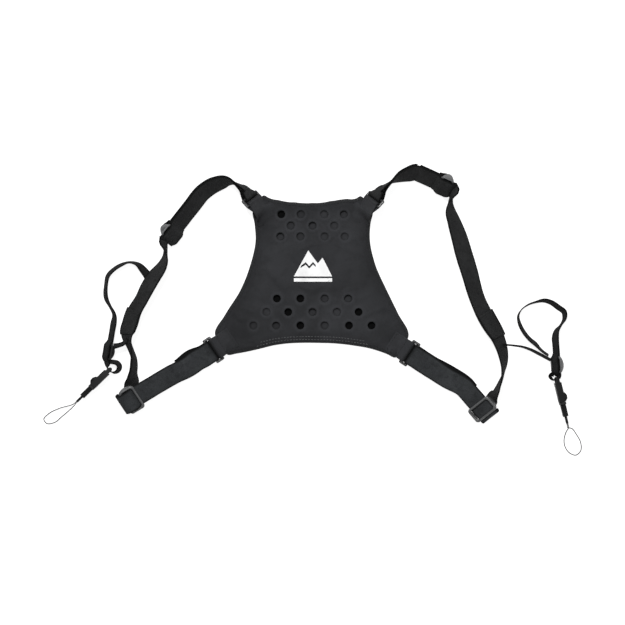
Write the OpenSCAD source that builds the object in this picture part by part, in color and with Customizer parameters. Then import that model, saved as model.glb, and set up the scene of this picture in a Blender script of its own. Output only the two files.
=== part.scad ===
// Optics carrying harness lying flat: padded yoke, two shoulder webs, two tethers with quick-release clips.
// Lengths are millimetres. Plan positions in the lists below are from the middle of the layout;
// every list is moved by origin_x and origin_y, so that the origin is the middle of the footprint.

/* [Yoke] */
// Thickness of the lining under the pad
lining_t = 1; // [0.6:0.1:1.4]
// Thickness of the foam pad
foam_t = 5; // [4:0.5:6]
// Thickness of the outer skin
skin_t = 1; // [0.8:0.1:1.2]
// Diameter of the ventilation holes
hole_d = 9; // [7:0.5:10]
// Height of the printed emblem above the skin
print_t = 0.2; // [0.1:0.05:0.3]

/* [Webbing] */
// Width of the shoulder webbing
web_w = 25; // [24:0.5:25]
// Thickness of the shoulder webbing
web_t = 1.6; // [1.2:0.1:1.6]
// Width of the tether webbing
tether_w = 9.5; // [8:0.5:9.5]
// Thickness of the tether webbing
tether_t = 1.2; // [1:0.1:1.2]

/* [Hardware] */
// Radius of the wire of the rings
wire_r = 1.5; // [1.3:0.1:1.5]
// Distance between the two long bars of a ring
ring_pitch = 7.6; // [7.5:0.1:8]
// Length of an upper slider along the web
upper_slider_l = 16; // [15:0.5:16]
// Length of a lower slider along the web
lower_slider_l = 19; // [17:0.5:19]
// Length of a tether slider along the web
tether_slider_l = 20; // [18:0.5:20]
// Thickness of the cord of the end loops
cord_d = 1; // [0.8:0.1:1]

/* [Clip] */
// Width of the clip socket along its eye bar
clip_w = 13; // [12.6:0.1:13]
// Thickness of the clip socket
clip_t = 7.4; // [7:0.1:7.4]
// Length of the clip from its eye bar to the cord end
clip_l = 44; // [42:0.5:45]

/* [Hidden] */

origin_x = 13.5;
origin_y = 21;
fabric = "#1d1d1f";
plastic = "#26272a";
round_n = 48;
play = 0.35;
floor_gap = 0.4;
yoke_top = lining_t + foam_t + skin_t;

// ---- Plan positions -------------------------------------------------------------------------
// A station is [x, y, z, roll, shift]: roll lifts the edge on the left of the way it runs,
// and shift moves the web along its own normal.
// A frame is [x, y, z, heading, roll]: its X runs along the web and its Y across it.

function resting(w, t, roll) = w / 2 * abs(sin(roll)) + t / 2 * abs(cos(roll));
function web(x, y, roll, lift = 0) =
    [x - origin_x, y - origin_y, resting(web_w, web_t, roll) + floor_gap + lift, roll, 0];
function thin(x, y, roll, lift = 0) =
    [x - origin_x, y - origin_y, resting(tether_w, tether_t, roll) + floor_gap + lift, roll, 0];
function frame(x, y, z, heading, roll) = [x - origin_x, y - origin_y, z, heading, roll];
function along(f) = [cos(f[3]), sin(f[3]), 0];
function across(f) = [-sin(f[3]) * cos(f[4]), cos(f[3]) * cos(f[4]), sin(f[4])];
function facing(f) = cross(along(f), across(f));
// Station at distance d along a frame, n off its face; flip turns the web's face round
function on(f, d, n = 0, flip = 0) = [
    for (v = [[f[0], f[1], f[2]] + d * along(f) + n * facing(f)]) each [v.x, v.y, v.z, f[4] + flip, 0]
];

module at_frame(f) {
    translate([f[0], f[1], f[2]]) rotate([f[4], 0, f[3]]) children();
}

// ---- Curves ---------------------------------------------------------------------------------
function span(a, b) = norm([for (k = [0:min(len(a), 3) - 1]) b[k] - a[k]]);
function slope(p, i, last) =
    i == 0 ? (p[1] - p[0]) / span(p[0], p[1])
    : i == last ? (p[last] - p[last - 1]) / span(p[last - 1], p[last])
    : let(a = span(p[i - 1], p[i]), b = span(p[i], p[i + 1]))
      ((p[i] - p[i - 1]) * b / a + (p[i + 1] - p[i]) * a / b) / (a + b);
function between(p, i, t, last) =
    let(d = span(p[i], p[i + 1]), s = t * t, c = s * t)
    (2 * c - 3 * s + 1) * p[i] + (c - 2 * s + t) * d * slope(p, i, last)
    + (3 * s - 2 * c) * p[i + 1] + (c - s) * d * slope(p, i + 1, last);
// Smooth curve through the points p from point a to point b, with a step of about the given length
function smooth(p, step, a = 0, b = undef) =
    let(last = len(p) - 1, end = is_undef(b) ? last : b)
    [for (i = [a:end - 1]) let(n = ceil(span(p[i], p[i + 1]) / step))
        for (k = [0:n - 1]) between(p, i, k / n, last), p[end]];
// Smooth closed outline through the points p
function closed(p, step) =
    let(n = len(p), q = concat([p[n - 2], p[n - 1]], p, [p[0], p[1], p[2]]), last = len(q) - 1)
    [for (i = [2:n + 1]) let(m = ceil(span(q[i], q[i + 1]) / step))
        for (k = [0:m - 1]) between(q, i, k / m, last)];
// Outline p moved inwards by d; p runs anticlockwise
function inset(p, d) =
    let(n = len(p))
    [for (i = [0:n - 1]) let(v = p[(i + 1) % n] - p[(i + n - 1) % n]) p[i] + d * [-v.y, v.x] / norm(v)];

// ---- Soft pieces ----------------------------------------------------------------------------
// Flat web of width w and thickness t through the stations, from station a to station b
module ribbon(stations, w, t, step = 4, a = 0, b = undef) {
    p = smooth(stations, step, a, b);
    n = len(p);
    function bearing(i) =
        let(a = p[max(i - 1, 0)], b = p[min(i + 1, n - 1)]) atan2(b.y - a.y, b.x - a.x);
    rings = [for (i = [0:n - 1]) let(f = [p[i].x, p[i].y, p[i].z, bearing(i), p[i][3]])
        for (c = [[1, 1], [-1, 1], [-1, -1], [1, -1]])
            [f[0], f[1], f[2]] + across(f) * c.x * w / 2 + facing(f) * (p[i][4] + c.y * t / 2)];
    sides = [for (i = [0:n - 2], k = [0:3]) let(a = 4 * i + k, b = 4 * i + (k + 1) % 4)
        each [[a, b + 4, b], [a, a + 4, b + 4]]];
    last = 4 * (n - 1);
    polyhedron(rings, concat(sides, [[0, 1, 2, 3], [last + 3, last + 2, last + 1, last]]));
}

// Round cord through the points
module cord(points, d, step) {
    p = smooth(points, step);
    n = len(p);
    sides_n = 8;
    rings = [for (i = [0:n - 1])
        let(a = p[max(i - 1, 0)], b = p[min(i + 1, n - 1)], u = (b - a) / norm(b - a),
            side = [-u.y, u.x, 0] / norm([u.x, u.y]), up = cross(u, side))
        for (k = [0:sides_n - 1]) p[i] + d / 2 * (cos(45 * k) * side + sin(45 * k) * up)];
    walls = [for (i = [0:n - 2], k = [0:sides_n - 1])
        let(a = sides_n * i + k, b = sides_n * i + (k + 1) % sides_n)
        each [[a, b + sides_n, b], [a, a + sides_n, b + sides_n]]];
    polyhedron(rings, concat(walls,
        [[for (k = [0:sides_n - 1]) k], [for (k = [sides_n - 1:-1:0]) sides_n * (n - 1) + k]]));
}

// Web of thickness t folded half round a bar of radius bar_r, its two ends leg long, opening to +X
module bight(w, t, bar_r, leg) {
    inner = bar_r;
    outer = bar_r + t;
    lap = 0.2;
    rotate([90, 0, 0]) linear_extrude(w, center = true) {
        difference() {
            circle(r = outer, $fn = round_n);
            circle(r = inner, $fn = round_n);
            translate([lap, -2 * outer]) square([2 * outer, 4 * outer]);
        }
        for (y = [inner, -outer]) translate([0, y]) square([leg, t]);
    }
}

fold_in = wire_r + 0.4;
fold_mid = fold_in + web_t / 2;
fold_leg = 4;
web_start = ring_pitch + fold_leg + 1.2;
// Where the web turns back beyond a lower slider, and how far below it the returning layer lies
run_end = 10.6;
under_layer = -4.8;

// Doubled tab of webbing sewn into the yoke: the stations run out to the ring's inner bar
module tab(stations, f) {
    body_t = 2 * web_t;
    neck = 9;
    step = 0.2;
    color(fabric) {
        ribbon(concat(stations, [on(f, -neck - 2), on(f, -neck + 0.2)]), web_w, body_t);
        at_frame(f) rotate([90, 0, 0]) linear_extrude(web_w - 2 * step, center = true) difference() {
            union() {
                circle(r = fold_in + web_t, $fn = round_n);
                polygon([[-neck, step - body_t / 2], [-1, -fold_in - web_t + 0.15],
                    [-1, fold_in + web_t - 0.15], [-neck, body_t / 2 - step]]);
            }
            circle(r = fold_in, $fn = round_n);
        }
    }
}

// ---- Yoke -----------------------------------------------------------------------------------
yoke_points = [
    [-57, 130], [-62.5, 123.5], [-68.5, 116], [-66.5, 104], [-65, 84], [-70, 59], [-83, 25], [-101, -4], [-112, -25],
    [-105.5, -37], [-97.5, -48.5], [-88, -47], [-68, -43], [-40, -36.5], [0, -34.5], [40, -36.5], [70, -42],
    [86, -47.5], [95.5, -51.5], [102.5, -41], [110, -28], [98, -1], [84, 28], [71, 58], [65.5, 86], [66.5, 104],
    [69, 116], [63.5, 122.5], [58, 129.5], [48, 130.5], [22, 128], [0, 125.5], [-22, 126.5], [-45, 129.5]
];
yoke_line = closed([for (p = yoke_points) p - [origin_x, origin_y]], 6);
skin_wall = 1.2;
// Rows of holes: [y, x positions]
hole_rows = [
    [113, [-36, -13.5, 13.5, 36]], [100, [-25, 0, 25]], [87.5, [-37, -14, 14, 37]],
    [16, [-41, -14, 14, 41]], [0.5, [-53, -28, 0, 28, 53]], [-15, [-68, -42, -14, 14, 42, 68]]
];

module yoke_sheet(z, t, d) {
    translate([0, 0, z]) linear_extrude(t) polygon(d == 0 ? yoke_line : inset(yoke_line, d));
}

module vents(z, t) {
    for (row = hole_rows, x = row[1])
        translate([x - origin_x, row[0] - origin_y, z]) cylinder(d = hole_d, h = t, $fn = round_n);
}

module lining() {
    color("#2a2a2c") yoke_sheet(0, lining_t, 0);
}

module foam_pad() {
    color("#38383a") difference() {
        yoke_sheet(lining_t, foam_t, skin_wall + 0.05);
        vents(lining_t - 1, foam_t + 2);
    }
}

module outer_skin() {
    color(fabric) difference() {
        yoke_sheet(lining_t, foam_t + skin_t, 0);
        yoke_sheet(lining_t - 1, foam_t + 1, skin_wall);
        vents(lining_t, foam_t + skin_t + 1);
    }
}

emblem_at = [0.6, 53.5];
emblem_w = 44;
emblem_h = 36;

// Printed badge: two peaks with snow lines standing on a bar
module emblem() {
    half = emblem_w / 2;
    bar = 4;
    peak = emblem_h - bar - 2;
    color("white") translate([emblem_at.x - origin_x, emblem_at.y - origin_y - emblem_h / 2, yoke_top])
        linear_extrude(print_t) {
            translate([-half, 0]) square([emblem_w, bar]);
            translate([0, bar + 2]) difference() {
                polygon([[-half, 0], [-half / 4, peak], [half / 4, peak * 0.5], [half / 2, peak * 0.72], [half, 0]]);
                polygon([[-half * 0.62, peak * 0.42], [-half * 0.38, peak * 0.55], [-half * 0.2, peak * 0.4],
                    [0, peak * 0.56], [half * 0.14, peak * 0.44], [half * 0.14, peak * 0.36], [0, peak * 0.46],
                    [-half * 0.2, peak * 0.3], [-half * 0.38, peak * 0.45], [-half * 0.66, peak * 0.32]]);
            }
        }
}

// ---- Frames of the hardware -------------------------------------------------------------------
left_upper_ring_at = frame(-67.3, 127.4, 13.2, 133, 48);
right_upper_ring_at = frame(68.3, 126.9, 13.2, 48, -48);
left_lower_ring_at = frame(-110.8, -40.9, 6.4, 213.5, -12);
right_lower_ring_at = frame(108.7, -44.7, 6.4, -33, 12);
left_upper_slider_at = frame(-162.2, 90.4, 15.6, -128.4, 130);
right_upper_slider_at = frame(151.7, 145.5, 15.6, -24, -130);
left_lower_slider_at = frame(-208, -99.5, 10.6, 211, -22);
right_lower_slider_at = frame(195.5, -110.5, 11.6, -49, 26);
left_tether_slider_at = frame(-234.3, -45, 7.6, -99.5, 40);
right_tether_slider_at = frame(281.4, -60, 7.6, -86, 40);
left_clip_at = frame(-233.5, -65.6, clip_w / 2, 224.5, 90);
right_clip_at = frame(281, -76.6, clip_w / 2, -76.5, -90);

// ---- Runs of webbing --------------------------------------------------------------------------
left_shoulder_run = concat(
    [on(left_upper_ring_at, web_start, -fold_mid), on(left_upper_ring_at, web_start + 3, -fold_mid),
        web(-83, 143.8, 66, 2.5), web(-90, 147.8, 90, 1.5), web(-98.5, 149.5, 112, 2.3), web(-111.5, 146, 126, 2.3),
        web(-124, 138, 130, 4)],
    [for (d = [-38, -33, 0, 8.6, 9.8]) on(left_upper_slider_at, d)], [web(-168.3, 75.4, 96, 1)]);
right_shoulder_run = concat(
    [on(right_upper_ring_at, web_start, -fold_mid), on(right_upper_ring_at, web_start + 3, -fold_mid),
        web(83.5, 143, -66, 2.5), web(91, 149.3, -90, 1.5), web(101, 155, -112, 1.5), web(111, 158, -124, 3)],
    [for (d = [-35, -32, 0, 8.6, 9.8]) on(right_upper_slider_at, d)], [web(159.6, 134.6, -98, 1)]);
left_front_run = concat(
    [web(-168.3, 74.4, 95, 1), web(-168.5, 64, 71), web(-173, 53, 58, 1), web(-182, 41, 47, 3),
        web(-190, 27.6, 46, 3), web(-197, 14, 49, 1), web(-204, 2, 46), web(-208.5, -11.5, 44),
        web(-212, -25, 50), web(-210.5, -34, 68), web(-207, -44, 79), web(-204, -56, 90),
        web(-204, -67, 102), web(-206, -76, 122), web(-208.5, -84, 150), web(-209.5, -91.5, 157)],
    [for (d = [6, 8.5, run_end]) on(left_lower_slider_at, d, under_layer, 180)]);
right_front_run = concat(
    [web(159.2, 132.6, -92, 1), web(157.5, 126, -73), web(158, 118.5, -60), web(163, 103.5, -48),
        web(168.5, 87, -39), web(173, 71, -34), web(180, 48, -35), web(190, 14, -41),
        web(197, -1, -38), web(205.5, -16, -39), web(213, -29, -48), web(217, -40, -54),
        web(219.5, -53, -62), web(219.5, -66, -76), web(217, -77, -88), web(213, -87, -98),
        web(209.5, -94, -112), web(206.5, -99.5, -146), web(203.5, -105, -154)],
    [for (d = [6, 8.5, run_end]) on(right_lower_slider_at, d, under_layer, -180)]);
left_lower_run = concat(
    [on(left_lower_ring_at, web_start, fold_mid), on(left_lower_ring_at, web_start + 4, fold_mid),
        web(-133, -54.5, -14, 3), web(-152, -66, -20, 3)],
    [for (d = [-40, -36, 8, run_end]) on(left_lower_slider_at, d)]);
right_lower_run = concat(
    [on(right_lower_ring_at, web_start, fold_mid), on(right_lower_ring_at, web_start + 4, fold_mid),
        web(136, -63, 15, 3), web(155, -75, 22, 3)],
    [for (d = [-30, -26, 8, run_end]) on(right_lower_slider_at, d)]);

// Run whose stations are shifted off the face; the last shift holds to the end
function shifted(run, shifts) = [for (i = [0:len(run) - 1])
    [for (k = [0:3]) run[i][k], shifts[min(i, len(shifts) - 1)]]];
upper_shifts = [2 * fold_mid, 2 * fold_mid, 4.8, 4, 3.4, 2.8, 2.3];
lower_shifts = [-2 * fold_mid, -5, -2.8, -2.2];

module strap(run, last = undef) {
    color(fabric) ribbon(run, web_w, web_t, b = last);
}

// Reinforcing patch on the upper face of a front strap, from station a to station b
module patch(run, a, b) {
    color(fabric) ribbon(shifted(run, [web_t + 0.6]), web_w, web_t, a = a, b = b);
}

// Turn of the web round the outer bar of a ring
module ring_fold(f) {
    color(fabric) at_frame(f) translate([ring_pitch, 0, 0]) bight(web_w, web_t, fold_in, fold_leg);
}

// Turn of the web beyond a lower slider
module lower_bight(f) {
    turn_in = -under_layer / 2 - web_t / 2;
    color(fabric) at_frame(f) translate([run_end + 0.5, 0, under_layer / 2]) mirror([1, 0, 0])
        bight(web_w, web_t, turn_in, 0.1);
}

// ---- Hardware -----------------------------------------------------------------------------------
// Rectangular wire ring: its inner bar lies on the frame's Y, its outer bar ring_pitch further on
module ring(f) {
    half = web_w / 2 + 0.4 + wire_r;
    color(plastic) at_frame(f) {
        for (x = [0, ring_pitch]) translate([x, 0, 0]) rotate([90, 0, 0])
            cylinder(r = wire_r, h = 2 * half, center = true, $fn = round_n);
        for (y = [-half, half]) translate([0, y, 0]) {
            rotate([0, 90, 0]) cylinder(r = wire_r, h = ring_pitch, $fn = round_n);
            for (x = [0, ring_pitch]) translate([x, 0, 0]) sphere(r = wire_r, $fn = round_n);
        }
    }
}

// Three-bar slider: the web runs straight between its middle bar, at height low, and its two end bars
module slider(f, w, t, length, bar_r, low, rail) {
    inner = w / 2 + 0.4;
    high = t / 2 + play + bar_r;
    reach = length / 2 - bar_r;
    color(plastic) at_frame(f) {
        for (x = [-reach, reach]) translate([x, 0, high]) rotate([90, 0, 0])
            cylinder(r = bar_r, h = 2 * inner + rail, center = true, $fn = round_n);
        translate([0, 0, low]) rotate([90, 0, 0])
            cylinder(r = bar_r, h = 2 * inner + rail, center = true, $fn = round_n);
        for (s = [0, 1]) mirror([0, s, 0]) translate([0, inner + rail, 0]) rotate([90, 0, 0])
            linear_extrude(rail) difference() {
                translate([-length / 2, low - bar_r]) square([length, high - low + 2 * bar_r]);
                for (m = [0, 1]) mirror([m, 0]) translate([length / 2, low - bar_r])
                    polygon([[0.1, -0.1], [0.1, high - low - 0.5], [-reach * 0.6, -0.1]]);
            }
    }
}

upper_bar_r = 1.2;
sewn_gap = 0.2;
upper_bar_low = -(web_t / 2 + play + web_t + sewn_gap + upper_bar_r);
lower_bar_low = -(web_t / 2 + play + 1.2);

// The frame of an upper slider turned over, so that its middle bar lies under the web
function over(f) = [f[0], f[1], f[2], f[3], f[4] + 180];

module shoulder_slider(f) {
    slider(over(f), web_w, web_t, upper_slider_l, upper_bar_r, upper_bar_low, 2.2);
}

module hem_slider(f) {
    slider(f, web_w, web_t, lower_slider_l, 1.2, lower_bar_low, 2.6);
}

module tether_slider(f) {
    slider(f, tether_w, tether_t, tether_slider_l, 1.1, -(tether_t / 2 + play + 1.1), 2.2);
}

// End of the returning web, sewn round the middle bar of an upper slider
module sewn_end(f) {
    leg = 14;
    bar_in = upper_bar_r + sewn_gap;
    color(fabric) at_frame(over(f)) translate([0, 0, upper_bar_low]) rotate([90, 0, 0])
        linear_extrude(web_w, center = true) {
            difference() {
                circle(r = bar_in + web_t, $fn = round_n);
                circle(r = bar_in, $fn = round_n);
            }
            translate([-leg, bar_in]) square([leg, web_t]);
        }
}

// ---- Tethers ------------------------------------------------------------------------------------
eye_r = 1.3;
eye_turn = eye_r + play + tether_t / 2;
// Stations of the tether round the eye bar of a clip, from angle a to angle b in plan
function eye_arc(f, a, b, n) = [for (k = [0:n]) let(v = a + (b - a) * k / n)
    [f[0] + eye_turn * cos(v), f[1] + eye_turn * sin(v), f[2], 90, 0]];

left_tether_run = concat(
    [thin(-184, 30, 0, 0.1), thin(-189, 40.5, 0, 0.1), thin(-195, 49, 28, 0.2), thin(-202.5, 56, 64),
        thin(-211, 57.8, 77), thin(-220, 55, 65), thin(-229, 49.5, 60), thin(-235.5, 42.5, 56),
        thin(-237.8, 32, 60), thin(-237.5, 16, 56), thin(-233, 7, 68), thin(-228.5, -2, 60, 0.5)],
    [for (d = [-33, -28, 9, 10.4, 11.5]) on(left_tether_slider_at, d)],
    eye_arc(left_clip_at, 180, 276, 4),
    [thin(-228.5, -69.2, 90, 1.4), thin(-224, -67, 90, 0.8), thin(-222.3, -62, 84, 0.3),
        thin(-225.2, -58, 78, 0.6), thin(-229.6, -57, 74, 1)]);
right_tether_run = concat(
    [thin(262.2, -42.2, 70), thin(257.5, -37, 60), thin(250.5, -31, 60), thin(243.5, -22.5, 60),
        thin(238.6, -13, 63), thin(237, -4, 74), thin(240.5, 3, 84), thin(247.5, 8.5, 82),
        thin(257, 12, 78), thin(267, 13.8, 64), thin(275, 11.5, 58), thin(283, 6, 56),
        thin(290, 0.2, 58), thin(290.3, -6.5, 68), thin(286, -14.5, 84), thin(281, -21.5, 60, 1)],
    [for (d = [-30, -24, 9, 10.4, 11.5]) on(right_tether_slider_at, d)],
    eye_arc(right_clip_at, 0, -135, 5),
    [thin(275.6, -76.6, 90, 1.2), thin(273.4, -73.4, 84, 0.6), thin(275.6, -71.2, 78, 0.6),
        thin(278, -71.6, 74, 1)]);
left_lead_run = [thin(-213.5, -32.5, 62, 7), thin(-218, -36, 60, 6.4), thin(-222.6, -37.6, 58, 6)];
right_lead_run = [thin(222.8, -37, 84, 8), thin(233, -38.2, 82, 4), thin(242, -39.6, 80, 1),
    thin(251, -42.6, 76), thin(260.5, -47.4, 74), thin(265.4, -50, 74)];

module tether(run) {
    color(fabric) ribbon(run, tether_w, tether_t, 2.5);
}

// ---- Clip: X along the clip, Y along the eye bar, Z out of the face that holds the latch ----------
sleeve_from = 4.5;
sleeve_to = 27;
pin_at = [30, 0.6];
pin_r = 0.8;

module clip_socket(f) {
    half = clip_w / 2;
    arm = 1.5;
    color(plastic) at_frame(f) {
        rotate([90, 0, 0]) cylinder(r = eye_r, h = clip_w, center = true, $fn = round_n);
        for (s = [-1, 1]) translate([0, s * (half - arm / 2), 0]) rotate([90, 0, 0]) {
            cylinder(r = 2.2, h = arm, center = true, $fn = round_n);
            translate([0, -2.2, -arm / 2]) cube([sleeve_from + 1, 4.4, arm]);
        }
        difference() {
            translate([sleeve_from, -half, -clip_t / 2]) cube([sleeve_to - sleeve_from, clip_w, clip_t]);
            translate([8, -4.6, -2.4]) cube([sleeve_to, 9.2, 4.8]);
            translate([13.5, -3.2, 0]) cube([sleeve_to, 6.4, clip_t]);
        }
    }
}

module clip_plug(f) {
    color(plastic) at_frame(f) {
        for (s = [0, 1]) mirror([0, s, 0]) translate([9, 3.2, -2.1]) cube([19, 1.1, 4.2]);
        translate([9, -4.3, -2.1]) cube([2, 8.6, 4.2]);
        difference() {
            union() {
                translate([27.4, -clip_w / 2 + 0.2, -3.5]) cube([2.6, clip_w - 0.4, 7]);
                translate([28, -4.2, -2.9]) cube([clip_l - 28, 8.4, 5.8]);
            }
            translate([27, -3.1, -1.6]) cube([6, 6.2, 8]);
        }
        translate([pin_at.x, 0, pin_at.y]) rotate([90, 0, 0])
            cylinder(r = pin_r, h = 7, center = true, $fn = round_n);
    }
}

module clip_latch(f) {
    color(plastic) at_frame(f) rotate([90, 0, 0]) linear_extrude(5.8, center = true) difference() {
        union() {
            translate(pin_at) circle(r = 1.6, $fn = round_n);
            polygon([[12.5, -0.2], [30, -0.2], [30, 1.4], [27.6, 1.4], [26.4, 4.6], [24, 6.7], [20.5, 7],
                [17.5, 5.6], [15, 2.6], [14, 1.2], [12.5, 1]]);
        }
        translate(pin_at) circle(r = pin_r + 0.2, $fn = round_n);
    }
}

// ---- Cord loops ---------------------------------------------------------------------------------
strand_gap = 0.6;
sleeve_l = 9;
// Rest of each loop: [x, y, height of its underside]
left_cord_route = [[-293, -111, 1.2], [-304, -116.5, 0.3], [-310, -123.5, 0.1], [-307, -127.8, 0.1],
    [-298, -127, 0.3], [-289, -120, 1.2]];
right_cord_route = [[291, -137, 1.2], [290, -148, 0.3], [292.5, -156, 0.1], [298, -162.5, 0.1],
    [304.5, -164.5, 0.1], [309.5, -160, 0.1], [309.5, -150, 0.1], [304, -140.5, 0.3], [298, -131, 1.2]];

// Points of a loop that leaves the clip on one side of its axis and comes back on the other
function cord_path(f, route) =
    let(lateral = [-sin(f[3]), cos(f[3]), 0] * strand_gap * (f[4] > 0 ? -1 : 1),
        out = function(d, s, h) [f[0], f[1], h] + d * along(f) + s * lateral,
        neck = [0.05, 1, sleeve_l, sleeve_l + 2],
        spread = sleeve_l + 9)
    concat([for (d = neck) out(clip_l + d, 1, f[2])], [out(clip_l + spread, 1.6, f[2] / 2)],
        [for (p = route) [p.x - origin_x, p.y - origin_y, p.z + cord_d / 2]],
        [out(clip_l + spread, -1.6, f[2] / 2)],
        [for (i = [len(neck) - 1:-1:0]) out(clip_l + neck[i], -1, f[2])]);

module cord_loop(f, route) {
    color(fabric) cord(cord_path(f, route), cord_d, 3);
}

module cord_sleeve(f) {
    color(plastic) at_frame(f) translate([clip_l + 0.05, 0, 0]) rotate([0, 90, 0]) difference() {
        cylinder(r = 1.5, h = sleeve_l - 0.5, $fn = round_n);
        for (s = [-1, 1]) translate([s * strand_gap, 0, -1])
            cylinder(r = cord_d / 2 + 0.06, h = sleeve_l + 2, $fn = round_n);
    }
}

// ---- The pieces -----------------------------------------------------------------------------------
module left_upper_tab() tab([web(-50, 110, 0, 3), web(-54.5, 114.5, 8, 4)], left_upper_ring_at);
module right_upper_tab() tab([web(50, 110, 0, 3), web(54.5, 114.5, -8, 4)], right_upper_ring_at);
module left_lower_tab() tab([web(-88, -25.5, 0, 3), web(-95, -30.5, 0, 3.4)], left_lower_ring_at);
module right_lower_tab() tab([web(86, -30.5, 0, 3), web(93, -35, 0, 3.4)], right_lower_ring_at);
module left_shoulder_strap() strap(left_shoulder_run);
module right_shoulder_strap() strap(right_shoulder_run);
module left_front_strap() strap(left_front_run);
module right_front_strap() strap(right_front_run);
module left_lower_strap() strap(left_lower_run);
module right_lower_strap() strap(right_lower_run);
module left_upper_return() strap(shifted(left_shoulder_run, upper_shifts), 7);
module right_upper_return() strap(shifted(right_shoulder_run, upper_shifts), 6);
module left_lower_return() strap(shifted(left_lower_run, lower_shifts), 3);
module right_lower_return() strap(shifted(right_lower_run, lower_shifts), 3);
module left_lower_bight() lower_bight(left_lower_slider_at);
module right_lower_bight() lower_bight(right_lower_slider_at);
module left_patch() patch(left_front_run, 6, 8);
module right_patch() patch(right_front_run, 8, 10);
module left_tether_lead() tether(left_lead_run);
module right_tether_lead() tether(right_lead_run);
module left_tether_loop() tether(left_tether_run);
module right_tether_loop() tether(right_tether_run);
module left_upper_ring() ring(left_upper_ring_at);
module right_upper_ring() ring(right_upper_ring_at);
module left_upper_fold() ring_fold(left_upper_ring_at);
module right_upper_fold() ring_fold(right_upper_ring_at);
module left_lower_ring() ring(left_lower_ring_at);
module right_lower_ring() ring(right_lower_ring_at);
module left_lower_fold() ring_fold(left_lower_ring_at);
module right_lower_fold() ring_fold(right_lower_ring_at);
module left_upper_slider() shoulder_slider(left_upper_slider_at);
module right_upper_slider() shoulder_slider(right_upper_slider_at);
module left_upper_end() sewn_end(left_upper_slider_at);
module right_upper_end() sewn_end(right_upper_slider_at);
module left_lower_slider() hem_slider(left_lower_slider_at);
module right_lower_slider() hem_slider(right_lower_slider_at);
module left_tether_slider() tether_slider(left_tether_slider_at);
module right_tether_slider() tether_slider(right_tether_slider_at);
module left_tether_end() tether([thin(-223.4, -37.9, 56, 6), thin(-228.5, -38.9, 50, 6)]);
module right_tether_end() tether([thin(267, -50.8, 74), thin(274.6, -55, 74)]);
module left_clip_socket() clip_socket(left_clip_at);
module right_clip_socket() clip_socket(right_clip_at);
module left_clip_plug() clip_plug(left_clip_at);
module right_clip_plug() clip_plug(right_clip_at);
module left_clip_latch() clip_latch(left_clip_at);
module right_clip_latch() clip_latch(right_clip_at);
module left_cord_sleeve() cord_sleeve(left_clip_at);
module right_cord_sleeve() cord_sleeve(right_clip_at);
module left_cord_loop() cord_loop(left_clip_at, left_cord_route);
module right_cord_loop() cord_loop(right_clip_at, right_cord_route);

lining();
foam_pad();
outer_skin();
emblem();
left_upper_tab();
right_upper_tab();
left_lower_tab();
right_lower_tab();
left_shoulder_strap();
right_shoulder_strap();
left_front_strap();
right_front_strap();
left_lower_strap();
right_lower_strap();
left_upper_return();
right_upper_return();
left_lower_return();
right_lower_return();
left_lower_bight();
right_lower_bight();
left_patch();
right_patch();
left_tether_lead();
right_tether_lead();
left_tether_loop();
right_tether_loop();
left_upper_ring();
right_upper_ring();
left_upper_fold();
right_upper_fold();
left_lower_ring();
right_lower_ring();
left_lower_fold();
right_lower_fold();
left_upper_slider();
right_upper_slider();
left_upper_end();
right_upper_end();
left_lower_slider();
right_lower_slider();
left_tether_slider();
right_tether_slider();
left_tether_end();
right_tether_end();
left_clip_socket();
right_clip_socket();
left_clip_plug();
right_clip_plug();
left_clip_latch();
right_clip_latch();
left_cord_sleeve();
right_cord_sleeve();
left_cord_loop();
right_cord_loop();
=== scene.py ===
"""Looks of the optics carrying harness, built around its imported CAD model.

Layout coordinates are millimetres in plan, as in the CAD source; ORIGIN is the part frame's origin in them.
A station of webbing is [x, y, z, roll, shift], and a frame of hardware is (x, y, z, heading, roll).
"""

import math

import bpy
import numpy as np
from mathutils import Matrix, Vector
from mathutils.bvhtree import BVHTree
from mathutils.geometry import delaunay_2d_cdt


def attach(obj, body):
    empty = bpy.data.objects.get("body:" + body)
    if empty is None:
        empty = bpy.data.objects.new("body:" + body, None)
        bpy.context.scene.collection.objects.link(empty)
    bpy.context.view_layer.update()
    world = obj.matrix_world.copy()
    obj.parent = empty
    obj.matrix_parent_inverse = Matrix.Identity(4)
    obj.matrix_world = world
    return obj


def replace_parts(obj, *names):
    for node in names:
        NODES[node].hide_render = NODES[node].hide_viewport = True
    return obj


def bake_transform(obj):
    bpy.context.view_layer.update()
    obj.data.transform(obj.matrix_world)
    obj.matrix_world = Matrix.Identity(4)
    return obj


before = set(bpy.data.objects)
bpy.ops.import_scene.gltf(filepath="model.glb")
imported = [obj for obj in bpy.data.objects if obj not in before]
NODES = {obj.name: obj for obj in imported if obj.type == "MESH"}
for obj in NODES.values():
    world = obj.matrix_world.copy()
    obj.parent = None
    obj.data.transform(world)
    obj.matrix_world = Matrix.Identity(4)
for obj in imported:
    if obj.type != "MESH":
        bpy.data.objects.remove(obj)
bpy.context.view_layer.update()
MM = 0.001
ORIGIN = (13.5, 21.0)

# ---- Sizes shared with the CAD ----
WEB_W, WEB_T = 25.0, 1.6
THIN_W, THIN_T = 9.5, 1.2
WIRE_R = 1.5
PITCH = 7.6
FOLD_MID = WIRE_R + 0.4 + WEB_T / 2
# Folds that meet between the bars of a ring
SNUG_MID = PITCH / 2 - WEB_T / 2 + 0.15
WEB_START = PITCH + 4 + 1.2
RUN_END = 10.6
UNDER = -4.8
FLOOR_GAP = 0.4
SKIN_TOP = 7.0
HOLE_R = 4.5
EYE_TURN = 1.3 + 0.35 + THIN_T / 2
BEND_STEPS = 12
LEAST_STEP = 0.05
STITCH_LIFT = 0.02
WEB_SPANS, THIN_SPANS = 8, 5
CLIP_L = 44.0


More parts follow.
